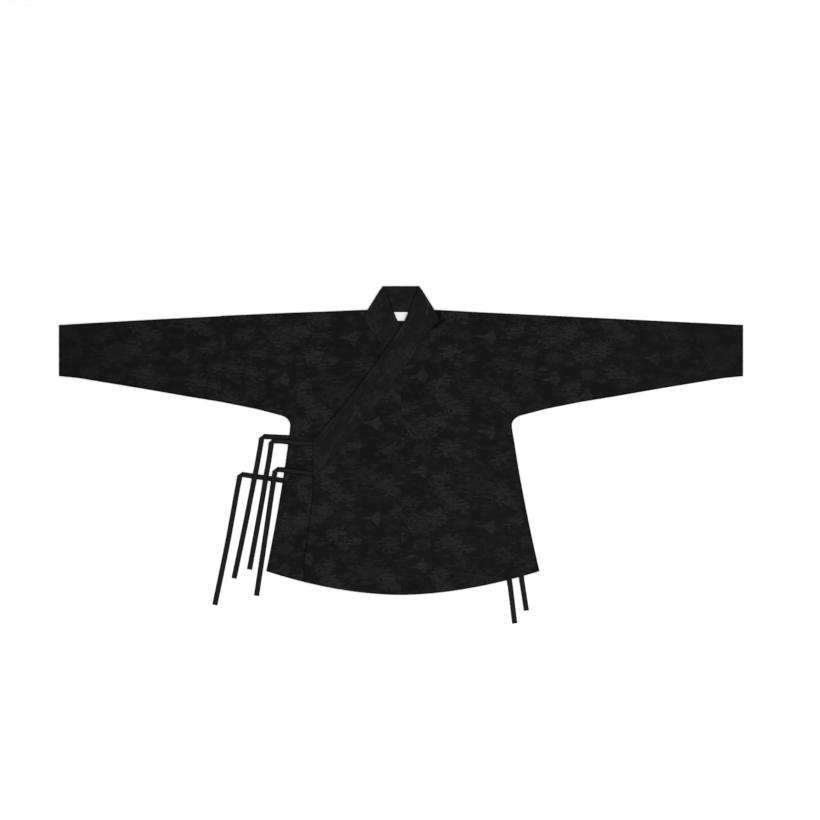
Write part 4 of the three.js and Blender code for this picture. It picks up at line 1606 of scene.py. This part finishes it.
class Graph:
    """A short way to write shader nodes."""

    def __init__(self, tree: bpy.types.NodeTree) -> None:
        """Write into a tree."""
        self.tree = tree

    def add(self, kind: str, inputs: dict | None = None, **settings: object) -> bpy.types.Node:
        """Add a node.

        Args:
            kind: The node's type.
            inputs: Values or sockets for its inputs, by name or number.
            settings: Properties of the node.

        Returns:
            The node.
        """
        node = self.tree.nodes.new(kind)
        for key, value in settings.items():
            setattr(node, key, value)
        for key, value in (inputs or {}).items():
            self.feed(value, node.inputs[key])
        return node

    def feed(self, value: object, socket: Socket) -> None:
        """Link a socket to an input, or set the input's own value."""
        if isinstance(value, Socket):
            self.tree.links.new(value, socket)
        else:
            socket.default_value = value

    def math(self, operation: str, *values: object) -> Socket:
        """Return the result of a mathematical operation."""
        return self.add("ShaderNodeMath", dict(enumerate(values)), operation=operation).outputs[0]

    def vector(self, operation: str, *values: object, out: str = "Vector") -> Socket:
        """Return the result of an operation on vectors."""
        node = self.add("ShaderNodeVectorMath", dict(enumerate(values)), operation=operation)
        return node.outputs[out]

    def step(
        self,
        value: object,
        low: float,
        high: float,
        start: float = 0.0,
        end: float = 1.0,
    ) -> Socket:
        """Return a smooth step from start to end as the value goes from low to high."""
        inputs = {"Value": value, "From Min": low, "From Max": high, "To Min": start, "To Max": end}
        return self.add("ShaderNodeMapRange", inputs, interpolation_type="SMOOTHSTEP").outputs["Result"]

    def place(
        self,
        vector: object,
        x: float,
        y: float,
        angle: float,
        wide: float,
        high: float,
    ) -> Socket:
        """Return a place in the frame of something that is put down at x, y, turned and scaled."""
        inputs = {
            "Vector": vector,
            "Location": (x, y, 0.0),
            "Rotation": (0.0, 0.0, math.radians(angle)),
            "Scale": (wide, high, 1.0),
        }
        return self.add("ShaderNodeMapping", inputs, vector_type="TEXTURE").outputs[0]

    def noise(self, vector: object, scale: float, detail: float, out: int = 0) -> Socket:
        """Return a soft noise at a place: its value is output 0 and its colour output 1."""
        node = self.add("ShaderNodeTexNoise", {"Vector": vector, "Scale": scale, "Detail": detail})
        return node.outputs[out]

    def split(self, vector: object) -> tuple[Socket, Socket]:
        """Return the X and Y of a vector."""
        node = self.add("ShaderNodeSeparateXYZ", {0: vector})
        return node.outputs[0], node.outputs[1]


class Kind(Enum):
    """The kinds of motif in the jacquard."""

    PEONY = "peony"
    BLOSSOM = "blossom"
    BUTTERFLY = "butterfly"
    SPRAY = "spray"
    LEAF = "leaf"
    BUD = "bud"
    CLUMP = "clump"


class MotifLibrary:
    """Node groups that draw one motif each, about one unit large.

    A pair of numbers called an edge, a gap, a root or a tip is where a soft step starts and ends.
    """

    LEAF_EDGE = (0.0, 0.4)
    RIB_EDGE = (0.04, 0.2)
    RIB_SHADE = 0.5
    BUD_EDGE = (0.3, 1.0)
    CLUMP_STRETCH = (2.1, 4.3, 1.0)
    CLUMP_FADE = 0.34
    CLUMP_EDGE = (0.525, 0.605)
    SPRAY_BEND = 0.16
    SPRAY_SLANT = 0.75
    SPRAY_STAGGER = 0.045
    SPRAY_PITCH = 0.09
    SPRAY_LEAF_HALF = 0.075
    SPRAY_LEAF_LENGTH = 0.27
    SPRAY_TAPER = 0.17
    SPRAY_LEAF_EDGE = (0.0, 0.25)
    SPRAY_ROOT = (0.02, 0.05)
    SPRAY_TIP = (0.98, 1.0)
    TWIG_EDGE = (0.008, 0.02)
    TWIG_SHADE = 0.8
    TWIG_ROOT = (-0.12, -0.1)
    TWIG_TIP = (1.0, 1.04)
    WING_TOP = 0.38
    WING_RISE = 1.3
    WING_FOOT = 0.86
    WING_DROOP = 0.3
    WING_PARTED_AT = 0.42
    WING_PARTED_SLANT = 0.5
    WING_EDGE = (0.0, 0.14)
    WING_GAP = (0.02, 0.08)
    WING_GAP_SHADE = 0.75
    INSECT_AT = 0.14
    INSECT_SIZE = (0.27, 0.92)
    INSECT_EDGE = (0.66, 1.0)
    BLOSSOM_PETALS = 5
    BLOSSOM_TURN = 0.4
    BLOSSOM_ROUND = 0.6
    BLOSSOM_SCALLOP = 0.36
    BLOSSOM_EDGE = (0.0, 0.1)
    BLOSSOM_GAP = (0.06, 0.28)
    BLOSSOM_RING = 0.3
    BLOSSOM_RING_EDGE = (0.05, 0.1)
    BLOSSOM_HEART = (0.22, 0.3)
    PEONY_RINGS = 4.0
    PEONY_RING_TURN = 1.9
    PEONY_SCALLOPS = 3.5
    PEONY_SCALLOP_DEPTH = 0.1
    PEONY_ARC_EDGE = (0.024, 0.066)
    PEONY_ARC_SHADE = 0.05
    PEONY_GAP = (0.08, 0.3)
    PEONY_GAP_SHADE = 0.3
    PEONY_LOBES = 9
    PEONY_TURN = 0.3
    PEONY_LOBE_DEPTH = 0.14
    PEONY_EDGE = (0.0, 0.08)

    def __init__(self) -> None:
        """Draw every kind once."""
        drawers = {
            Kind.PEONY: self.peony,
            Kind.BLOSSOM: self.blossom,
            Kind.BUTTERFLY: self.butterfly,
            Kind.SPRAY: self.spray,
            Kind.LEAF: self.leaf,
            Kind.BUD: self.bud,
            Kind.CLUMP: self.clump,
        }
        self.groups = {kind: self.wrap(kind.value, draw) for kind, draw in drawers.items()}

    @staticmethod
    def wrap(name: str, draw: Callable) -> bpy.types.NodeTree:
        """Make a node group with a place as its input and a mask as its output."""
        tree = bpy.data.node_groups.new(f"motif_{name}", "ShaderNodeTree")
        tree.interface.new_socket(name="Place", in_out="INPUT", socket_type="NodeSocketVector")
        tree.interface.new_socket(name="Mask", in_out="OUTPUT", socket_type="NodeSocketFloat")
        graph = Graph(tree)
        start = graph.add("NodeGroupInput")
        mask = draw(graph, start.outputs["Place"])
        graph.add("NodeGroupOutput", {"Mask": mask})
        return tree

    @classmethod
    def leaf(cls, g: Graph, place: Socket) -> Socket:
        """Draw a pointed leaf along X with a bare midrib."""
        x, y = g.split(place)
        aside = g.math("ABSOLUTE", y)
        inside = g.math("SUBTRACT", g.math("SUBTRACT", 1.0, g.math("MULTIPLY", x, x)), aside)
        blade = g.step(inside, *cls.LEAF_EDGE)
        rib = g.step(aside, *cls.RIB_EDGE, cls.RIB_SHADE, 1.0)
        return g.math("MULTIPLY", blade, rib)

    @classmethod
    def bud(cls, g: Graph, place: Socket) -> Socket:
        """Draw a faint round patch with soft edges."""
        radius = g.vector("LENGTH", place, out="Value")
        return g.step(radius, *cls.BUD_EDGE, 1.0, 0.0)

    @classmethod
    def clump(cls, g: Graph, place: Socket) -> Socket:
        """Draw close foliage whose outline is ragged and whose leaves lie along X."""
        leaves = g.noise(g.vector("MULTIPLY", place, cls.CLUMP_STRETCH), 1.0, 2.0)
        radius = g.vector("LENGTH", place, out="Value")
        inside = g.math("MULTIPLY_ADD", radius, -cls.CLUMP_FADE, cls.CLUMP_FADE)
        return g.step(g.math("ADD", leaves, inside), *cls.CLUMP_EDGE)

    @classmethod
    def spray(cls, g: Graph, place: Socket) -> Socket:
        """Draw a bent twig from the origin along X with slanting leaves on both sides."""
        x, y = g.split(place)
        bend = g.math("MULTIPLY", g.math("MULTIPLY", x, x), cls.SPRAY_BEND)
        y = g.math("SUBTRACT", y, bend)
        aside = g.math("ABSOLUTE", y)
        root = g.math("MULTIPLY_ADD", aside, -cls.SPRAY_SLANT, x)
        root = g.math("MULTIPLY_ADD", g.math("SIGN", y), cls.SPRAY_STAGGER, root)
        cell = g.math("PINGPONG", root, cls.SPRAY_PITCH)
        off_middle = g.math("SUBTRACT", cls.SPRAY_PITCH, cell)
        across = g.math("MULTIPLY", off_middle, 1 / cls.SPRAY_LEAF_HALF)
        length = g.math("MULTIPLY_ADD", root, -cls.SPRAY_TAPER, cls.SPRAY_LEAF_LENGTH)
        along = g.math("MULTIPLY_ADD", g.math("DIVIDE", aside, length), 2.0, -1.0)
        inside = g.math("SUBTRACT", g.math("SUBTRACT", 1.0, g.math("MULTIPLY", along, along)), across)
        leaves = g.math("MULTIPLY", g.step(inside, *cls.SPRAY_LEAF_EDGE), g.step(root, *cls.SPRAY_ROOT))
        leaves = g.math("MULTIPLY", leaves, g.step(root, *cls.SPRAY_TIP, 1.0, 0.0))
        twig = g.step(aside, *cls.TWIG_EDGE, cls.TWIG_SHADE, 0.0)
        twig = g.math("MULTIPLY", twig, g.step(x, *cls.TWIG_ROOT))
        twig = g.math("MULTIPLY", twig, g.step(x, *cls.TWIG_TIP, 1.0, 0.0))
        return g.math("MAXIMUM", leaves, twig)

    @classmethod
    def butterfly(cls, g: Graph, place: Socket) -> Socket:
        """Draw a butterfly with its head towards Y and its wings out along X."""
        mirrored = g.vector("ABSOLUTE", place)
        _, y = g.split(place)
        x, _ = g.split(mirrored)
        below_top = g.math("SUBTRACT", cls.WING_TOP, y)
        before = g.math("MULTIPLY_ADD", below_top, cls.WING_RISE, g.math("MULTIPLY", x, -1.0))
        behind = g.math("MULTIPLY_ADD", x, -cls.WING_DROOP, g.math("ADD", y, cls.WING_FOOT))
        off_gap = g.math("ADD", y, cls.WING_PARTED_AT)
        parted = g.math("ABSOLUTE", g.math("MULTIPLY_ADD", x, cls.WING_PARTED_SLANT, off_gap))
        filled = g.step(g.math("MINIMUM", before, behind), *cls.WING_EDGE)
        wings = g.math("MULTIPLY", filled, g.step(parted, *cls.WING_GAP, cls.WING_GAP_SHADE, 1.0))
        in_body = g.place(place, 0.0, cls.INSECT_AT, 0.0, *cls.INSECT_SIZE)
        body = g.vector("LENGTH", in_body, out="Value")
        return g.math("MAXIMUM", wings, g.step(body, *cls.INSECT_EDGE, 1.0, 0.0))

    @staticmethod
    def lobes(g: Graph, angle: Socket, count: float, turn: float) -> Socket:
        """Return 1 along the middle of each petal and 0 between two."""
        phase = g.math("MULTIPLY_ADD", angle, count / 2, turn)
        return g.math("ABSOLUTE", g.math("COSINE", phase))

    @classmethod
    def blossom(cls, g: Graph, place: Socket) -> Socket:
        """Draw an open five-petalled flower."""
        x, y = g.split(place)
        radius = g.vector("LENGTH", place, out="Value")
        angle = g.math("ARCTAN2", y, x)
        petal = cls.lobes(g, angle, cls.BLOSSOM_PETALS, cls.BLOSSOM_TURN)
        rounded = g.math("POWER", petal, cls.BLOSSOM_ROUND)
        reach = g.math("MULTIPLY_ADD", rounded, cls.BLOSSOM_SCALLOP, 1 - cls.BLOSSOM_SCALLOP)
        filled = g.step(g.math("SUBTRACT", reach, radius), *cls.BLOSSOM_EDGE)
        parted = g.step(petal, *cls.BLOSSOM_GAP)
        off_ring = g.math("ABSOLUTE", g.math("SUBTRACT", radius, cls.BLOSSOM_RING))
        ring = g.step(off_ring, *cls.BLOSSOM_RING_EDGE)
        heart = g.step(radius, *cls.BLOSSOM_HEART, 1.0, 0.0)
        petals = g.math("MULTIPLY", filled, g.math("MULTIPLY", parted, ring))
        return g.math("MAXIMUM", petals, heart)

    @classmethod
    def peony(cls, g: Graph, place: Socket) -> Socket:
        """Draw a full flower of scalloped rings of petals, parted by dark arcs."""
        x, y = g.split(place)
        radius = g.vector("LENGTH", place, out="Value")
        angle = g.math("ARCTAN2", y, x)
        ring = g.math("FLOOR", g.math("MULTIPLY", radius, cls.PEONY_RINGS))
        scallops = g.math("MULTIPLY", angle, cls.PEONY_SCALLOPS)
        turned = g.math("MULTIPLY_ADD", ring, cls.PEONY_RING_TURN, scallops)
        scallop = g.math("ABSOLUTE", g.math("COSINE", turned))
        bent = g.math("MULTIPLY_ADD", scallop, -cls.PEONY_SCALLOP_DEPTH, radius)
        arc = g.math("PINGPONG", bent, 0.5 / cls.PEONY_RINGS)
        arcs = g.step(arc, *cls.PEONY_ARC_EDGE, cls.PEONY_ARC_SHADE, 1.0)
        parted = g.step(scallop, *cls.PEONY_GAP, cls.PEONY_GAP_SHADE, 1.0)
        petals = g.math("MULTIPLY", arcs, parted)
        lobes = cls.lobes(g, angle, cls.PEONY_LOBES, cls.PEONY_TURN)
        rim = g.math("MULTIPLY_ADD", lobes, cls.PEONY_LOBE_DEPTH, 1 - cls.PEONY_LOBE_DEPTH)
        inside = g.step(g.math("SUBTRACT", rim, radius), *cls.PEONY_EDGE)
        return g.math("MULTIPLY", petals, inside)


@dataclass(frozen=True)
class Motif:
    """A motif put down in the repeat: its place, turn and size in millimetres, and how bright it is."""

    kind: Kind
    x: float
    y: float
    angle: float
    wide: float
    high: float
    strength: float = 1.0


# The size and middle of one repeat, and how many repeats away its grid starts, so that no place is negative.
REPEAT = (310.0, 222.0)
REPEAT_ORIGIN = (44.0, 59.0)
FAR_REPEATS = 100
# Columns of every motif: kind, x, y, angle, wide, high, strength.
MOTIFS = (
    Motif(Kind.PEONY, 5.0, 4.0, 10.0, 46.0, 34.0),
    Motif(Kind.PEONY, 5.0, -47.0, 4.0, 25.0, 16.0, 0.95),
    Motif(Kind.BUTTERFLY, 157.0, -3.0, 86.0, 17.5, 27.0),
    Motif(Kind.BUTTERFLY, -3.0, -97.0, 98.0, 17.5, 27.0),
    Motif(Kind.CLUMP, 46.0, 19.0, -12.0, 24.0, 22.0),
    Motif(Kind.CLUMP, 72.0, -42.0, 14.0, 30.0, 22.0),
    Motif(Kind.CLUMP, 113.0, -55.0, 8.0, 24.0, 11.0, 0.95),
    Motif(Kind.CLUMP, 90.0, -69.0, 0.0, 12.0, 12.0, 0.95),
    Motif(Kind.CLUMP, -27.0, 50.0, 8.0, 32.0, 17.0, 0.75),
    Motif(Kind.CLUMP, 51.0, 80.0, -20.0, 23.0, 17.0, 0.9),
    Motif(Kind.CLUMP, 70.0, 56.0, -48.0, 30.0, 21.0, 0.9),
    Motif(Kind.CLUMP, 99.0, 44.0, -6.0, 19.0, 12.0, 0.9),
    Motif(Kind.LEAF, 104.0, 28.0, 4.0, 14.0, 5.0, 0.85),
    Motif(Kind.CLUMP, 136.0, 92.0, 10.0, 50.0, 31.0, 0.55),
    Motif(Kind.CLUMP, -117.0, 74.0, -28.0, 36.0, 26.0, 0.9),
    Motif(Kind.BUD, 116.0, -28.0, 0.0, 16.0, 10.0, 0.4),
    Motif(Kind.CLUMP, 97.0, 2.0, 6.0, 23.0, 12.0, 0.6),
    Motif(Kind.CLUMP, -115.0, -66.0, 14.0, 29.0, 21.0, 0.7),
    Motif(Kind.CLUMP, 49.0, 109.0, 24.0, 27.0, 16.0, 0.95),
    Motif(Kind.CLUMP, -64.0, 103.0, -10.0, 30.0, 22.0, 0.55),
    Motif(Kind.CLUMP, 100.0, -93.0, 12.0, 24.0, 13.0, 0.55),
    Motif(Kind.CLUMP, -56.0, -33.0, 6.0, 28.0, 15.0, 0.85),
    Motif(Kind.CLUMP, -66.0, -80.0, -8.0, 32.0, 18.0, 0.8),
    Motif(Kind.CLUMP, -90.0, 12.0, 28.0, 30.0, 17.0, 0.85),
    Motif(Kind.CLUMP, -92.0, 54.0, -24.0, 22.0, 12.0, 0.8),
    Motif(Kind.LEAF, -21.0, -75.0, 6.0, 16.0, 5.0, 0.9),
    Motif(Kind.LEAF, 42.0, -60.0, 4.0, 13.0, 4.5, 0.8),
    Motif(Kind.LEAF, -42.0, 20.0, 152.0, 15.0, 6.0, 0.8),
    Motif(Kind.LEAF, -50.0, -6.0, 186.0, 14.0, 6.0, 0.75),
    Motif(Kind.SPRAY, 30.0, 92.0, -36.0, 92.0, 70.0, 0.8),
    Motif(Kind.BLOSSOM, 68.0, -44.0, 15.0, 16.0, 13.0, 0.9),
    Motif(Kind.BLOSSOM, -118.0, 74.0, 10.0, 19.0, 13.0, 0.8),
    Motif(Kind.BUD, 160.0, 43.0, 0.0, 22.0, 13.0, 0.45),
    Motif(Kind.BUD, -113.0, -30.0, 0.0, 20.0, 12.0, 0.4),
    Motif(Kind.BUD, -72.0, -104.0, 0.0, 26.0, 15.0, 0.35),
    Motif(Kind.BUD, 20.0, 66.0, 0.0, 18.0, 10.0, 0.4),
)


class JacquardPattern:
    """The woven pattern as one node group, from a place in metres to how far a motif shows."""

    def __init__(self) -> None:
        """Put every motif down in whichever of two offset grids of repeats holds it whole."""
        library = MotifLibrary()
        self.tree = MotifLibrary.wrap("repeat", lambda g, place: self.draw(g, place, library))

    def draw(self, g: Graph, place: Socket, library: MotifLibrary) -> Socket:
        """Draw the repeat.

        Args:
            g: Where the nodes are written.
            place: The place on the cloth, in metres.
            library: The motifs.

        Returns:
            How far a motif shows there, from 0 to 1.
        """
        wide, high = REPEAT
        millimetres = g.vector("SCALE", place)
        millimetres.node.inputs["Scale"].default_value = 1 / MM
        grids: dict[tuple[int, int], Socket] = {}
        drawn = None
        for motif in MOTIFS:
            column = abs(motif.x) > wide / 4
            row = abs(motif.y) > high / 4
            corner = (int(column), int(row))
            if corner not in grids:
                west = REPEAT_ORIGIN[0] - wide / 2 * (1 - corner[0]) - wide * FAR_REPEATS
                south = REPEAT_ORIGIN[1] - high / 2 * (1 - corner[1]) - high * FAR_REPEATS
                shifted = g.vector("SUBTRACT", millimetres, (west, south, 0.0))
                wrapped = g.vector("MODULO", shifted, (wide, high, 1.0))
                grids[corner] = g.vector("SUBTRACT", wrapped, (wide / 2, high / 2, 0.0))
            x = motif.x - math.copysign(wide / 2, motif.x) * corner[0]
            y = motif.y - math.copysign(high / 2, motif.y) * corner[1]
            there = g.place(grids[corner], x, y, motif.angle, motif.wide, motif.high)
            group = g.add("ShaderNodeGroup", node_tree=library.groups[motif.kind])
            g.feed(there, group.inputs["Place"])
            mask = g.math("MULTIPLY", group.outputs["Mask"], motif.strength)
            drawn = mask if drawn is None else g.math("MAXIMUM", drawn, mask)
        return drawn


@dataclass(frozen=True)
class ClothFinish:
    """A black woven finish.

    Its levels are how much light the cloth gives back. Its noises are scaled in waves a metre, and of three
    scales the first is along the grain and the second across it. An edge is where a soft step starts and
    ends. A drift is a factor and a sum.
    """

    name: str
    ground: float = 0.0043
    figure: float = 0.014
    pattern_strength: float = 1.0
    cuff_strength: float = 0.42
    quieter: tuple[float, float] = (0.43, 0.8)
    roughness: float = 0.62
    specular: float = 0.05
    weave_pitch: float = 0.5
    weave_height: float = 0.03
    weave_slant: float = 0.25
    weave_strength: float = 0.5
    twill: bool = False
    # How far the painted shade darkens the colour where it is full.
    painted_shade_depth: float = 0.86
    tint: tuple[float, float, float] = (1.0, 1.0, 1.03)
    drift_scale: float = 17.0
    drift: tuple[float, float] = (0.5, 0.75)
    streak_scale: tuple[float, float, float] = (52.0, 210.0, 1.0)
    streak_drift: tuple[float, float] = (0.3, 0.85)
    streak_edge: tuple[float, float] = (0.38, 0.56)
    streak_least: float = 0.42
    ragged_scale: float = 70.0
    ragged_reach: float = 3.2
    foliage_scale: tuple[float, float, float] = (48.0, 78.0, 1.0)
    foliage_edge: tuple[float, float] = (0.5, 0.66)
    foliage_strength: float = 0.42

    def figured(
        self,
        g: Graph,
        place: Socket,
        streaks: Socket,
        pattern: JacquardPattern,
    ) -> Socket:
        """Return the level of cloth with a woven pattern, which grows quieter towards the cuffs.

        Args:
            g: Where the nodes are written.
            place: The place on the cloth, in metres.
            streaks: The noise that runs with the threads.
            pattern: The woven pattern.

        Returns:
            The level.
        """
        ragged = g.noise(place, self.ragged_scale, 2.0, out=1)
        shift = g.vector("SCALE", g.vector("SUBTRACT", ragged, (0.5, 0.5, 0.5)))
        shift.node.inputs["Scale"].default_value = self.ragged_reach * MM
        group = g.add("ShaderNodeGroup", node_tree=pattern.tree)
        g.feed(g.vector("ADD", place, shift), group.inputs["Place"])
        floated = g.step(streaks, *self.streak_edge, self.streak_least, 1.0)
        foliage = g.noise(g.vector("MULTIPLY", place, self.foliage_scale), 1.0, 4.0)
        behind = g.step(foliage, *self.foliage_edge, 0.0, self.foliage_strength)
        shown = g.math("MAXIMUM", group.outputs["Mask"], behind)
        from_centre = g.math("ABSOLUTE", g.split(g.add("ShaderNodeTexCoord").outputs["Object"])[0])
        strength = g.step(from_centre, *self.quieter, self.pattern_strength, self.cuff_strength)
        motif = g.math("MULTIPLY", g.math("MULTIPLY", shown, floated), strength)
        return g.math("MULTIPLY_ADD", motif, self.figure - self.ground, self.ground)

    def woven(self, g: Graph, place: Socket) -> Socket:
        """Return the normal that the threads give the cloth."""
        thread = 2 * math.pi / (self.weave_pitch * MM)
        along, across = g.split(place)
        warp = g.math("SINE", g.math("MULTIPLY", along, thread))
        slant = 1.0 if self.twill else self.weave_slant
        weft = g.math("SINE", g.math("MULTIPLY", g.math("MULTIPLY_ADD", along, slant, across), thread))
        height = weft if self.twill else g.math("MULTIPLY", warp, weft)
        inputs = {"Strength": self.weave_strength, "Distance": self.weave_height * MM, "Height": height}
        return g.add("ShaderNodeBump", inputs).outputs[0]

    def make(self, pattern: JacquardPattern | None) -> bpy.types.Material:
        """Make the material.

        Args:
            pattern: The woven pattern, or None for plain cloth.

        Returns:
            The material.
        """
        material = bpy.data.materials.new(self.name)
        material.use_nodes = True
        tree = material.node_tree
        tree.nodes.clear()
        g = Graph(tree)
        place = g.add("ShaderNodeUVMap", uv_map=GRAIN_MAP).outputs["UV"]
        # The painted shade, read from the point attribute.
        rim = g.add("ShaderNodeAttribute", attribute_name=PAINTED_SHADE_ATTRIBUTE).outputs["Fac"]

        streaks = g.noise(g.vector("MULTIPLY", place, self.streak_scale), 1.0, 3.0)
        shade = g.math("MULTIPLY_ADD", g.noise(place, self.drift_scale, 3.0), *self.drift)
        shade = g.math("MULTIPLY", shade, g.math("MULTIPLY_ADD", streaks, *self.streak_drift))
        level = self.ground if pattern is None else self.figured(g, place, streaks, pattern)
        level = g.math("MULTIPLY", shade, level)
        # Painted shade: the colour is darkened near edges, seams and folds and in crease troughs.
        level = g.math("MULTIPLY", level, g.math("MULTIPLY_ADD", rim, -self.painted_shade_depth, 1.0))
        tinted = g.vector("SCALE", self.tint)
        g.feed(level, tinted.node.inputs["Scale"])

        shader = g.add(
            "ShaderNodeBsdfPrincipled",
            {
                "Base Color": tinted,
                "Roughness": self.roughness,
                "Specular IOR Level": self.specular,
                "Normal": self.woven(g, place),
            },
        )
        g.add("ShaderNodeOutputMaterial", {"Surface": shader.outputs[0]})
        return material


@dataclass(frozen=True)
class PlainFinish:
    """One even colour."""

    name: str
    colour: tuple[float, float, float]
    roughness: float = 0.8
    specular: float = 0.2

    def make(self) -> bpy.types.Material:
        """Make the material."""
        material = bpy.data.materials.new(self.name)
        material.use_nodes = True
        shader = material.node_tree.nodes["Principled BSDF"]
        shader.inputs["Base Color"].default_value = (*self.colour, 1.0)
        shader.inputs["Roughness"].default_value = self.roughness
        shader.inputs["Specular IOR Level"].default_value = self.specular
        return material


def dress(item: bpy.types.Object, material: bpy.types.Material) -> None:
    """Give an object its only material."""
    item.data.materials.clear()
    item.data.materials.append(material)


# ---------------------------------------------------------------- the studio


@dataclass(frozen=True)
class Studio:
    """A pale floor, soft light and a camera that looks straight down.

    Its sizes and places are in metres, the lens and sensor in millimetres and the power in watts.
    """

    floor_size: float = 14.0
    floor_drop: float = 0.0004
    camera_place: tuple[float, float, float] = (0.021, 0.105, 4.53)
    lens: float = 85.0
    sensor: float = 36.0
    world_light: float = 0.8
    floor_finish: PlainFinish = PlainFinish("pale_floor", (0.98, 0.98, 0.98), 0.9, 0.1)
    key_power: float = 88.0
    key_size: float = 3.2
    key_place: tuple[float, float, float] = (1.3, -1.5, 4.2)

    def lay_floor(self) -> None:
        """Lay the floor just below the cloth."""
        deselect_all()
        bpy.ops.mesh.primitive_plane_add(size=self.floor_size, location=(0.0, 0.0, -self.floor_drop))
        floor = bpy.context.active_object
        floor.name = "floor"
        dress(floor, self.floor_finish.make())

    def hang_lights(self) -> None:
        """Hang the lights and set the pale surroundings."""
        key = bpy.data.lights.new("key", "AREA")
        key.energy = self.key_power
        key.size = self.key_size
        lamp = bpy.data.objects.new("key", key)
        lamp.location = self.key_place
        lamp.rotation_euler = (-lamp.location).to_track_quat("-Z", "Y").to_euler()
        bpy.context.collection.objects.link(lamp)
        world = bpy.data.worlds.new("pale")
        world.use_nodes = True
        background = world.node_tree.nodes["Background"]
        background.inputs["Color"].default_value = (1.0, 1.0, 1.0, 1.0)
        background.inputs["Strength"].default_value = self.world_light
        bpy.context.scene.world = world
        bpy.context.scene.view_settings.view_transform = "Standard"

    def set_camera(self) -> None:
        """Put the camera above the top, looking straight down."""
        data = bpy.data.cameras.new("above")
        data.lens = self.lens
        data.sensor_width = self.sensor
        camera = bpy.data.objects.new("above", data)
        camera.location = self.camera_place
        bpy.context.collection.objects.link(camera)
        bpy.context.scene.camera = camera


def main() -> None:
    """Build the top and its studio."""
    logging.basicConfig(level=logging.INFO, format="%(message)s")
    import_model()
    cut = Cut()
    arm, centre_row = cut.arm(to_centre=2, to_lap=7, parts=8)
    stack = Stack.of(cut, arm)

    pattern = JacquardPattern()
    jacquard = ClothFinish("black_jacquard").make(pattern)
    band = ClothFinish("black_collar_band", ground=0.0058, pattern_strength=0.8).make(pattern)
    strip = ClothFinish("black_tie_twill", ground=0.0102, twill=True, weave_pitch=1.1).make(None)
    tape = PlainFinish("white_tape", (0.8, 0.8, 0.78)).make()
    thread = PlainFinish("black_thread", (0.006, 0.006, 0.0065), 0.5).make()

    left = BodyHalf(cut, Side.LEFT, arm, centre_row, stack.over_front, FRONT_CREASES_LEFT).build()
    right = BodyHalf(cut, Side.RIGHT, arm, centre_row, stack.under_front, FRONT_CREASES_RIGHT).build()
    over = OverlapPanel(cut, Side.RIGHT, arm, centre_row, stack.over_front, LAP_CREASES).build()
    under = OverlapPanel(cut, Side.LEFT, arm, centre_row, stack.under_front, ()).build()
    sleeves = [LowerSleeve(cut, side, stack.under_front, SLEEVE_CREASES[side]).build() for side in Side]
    collar = Collar(cut, stack, arm).build()
    ties = [Tie(cut, node, run, leg).build() for node, (run, leg) in TIES.items()]
    label = NeckLabel(cut).build()
    for item in (left, right, over, under, *sleeves):
        dress(item, jacquard)
    dress(collar, band)
    for item in ties:
        dress(item, strip)
    dress(label, tape)

    sewing = Sewing(cut)
    stitching = Stitching("hem_stitches")
    stitching.sew(left, sewing.hem(Side.LEFT, *sewing.left_hem))
    stitching.sew(over, sewing.hem(Side.RIGHT, *sewing.over_hem))
    stitching.sew(right, sewing.hem(Side.RIGHT, *sewing.right_hem))
    stitching.sew(over, sewing.lap())
    for side, sleeve in zip(Side, sleeves):
        stitching.sew(sleeve, sewing.cuff(side))
    dress(stitching.build(Slot.JACQUARD), thread)

    studio = Studio()
    studio.lay_floor()
    studio.hang_lights()
    studio.set_camera()


if __name__ == "__main__":
    main()
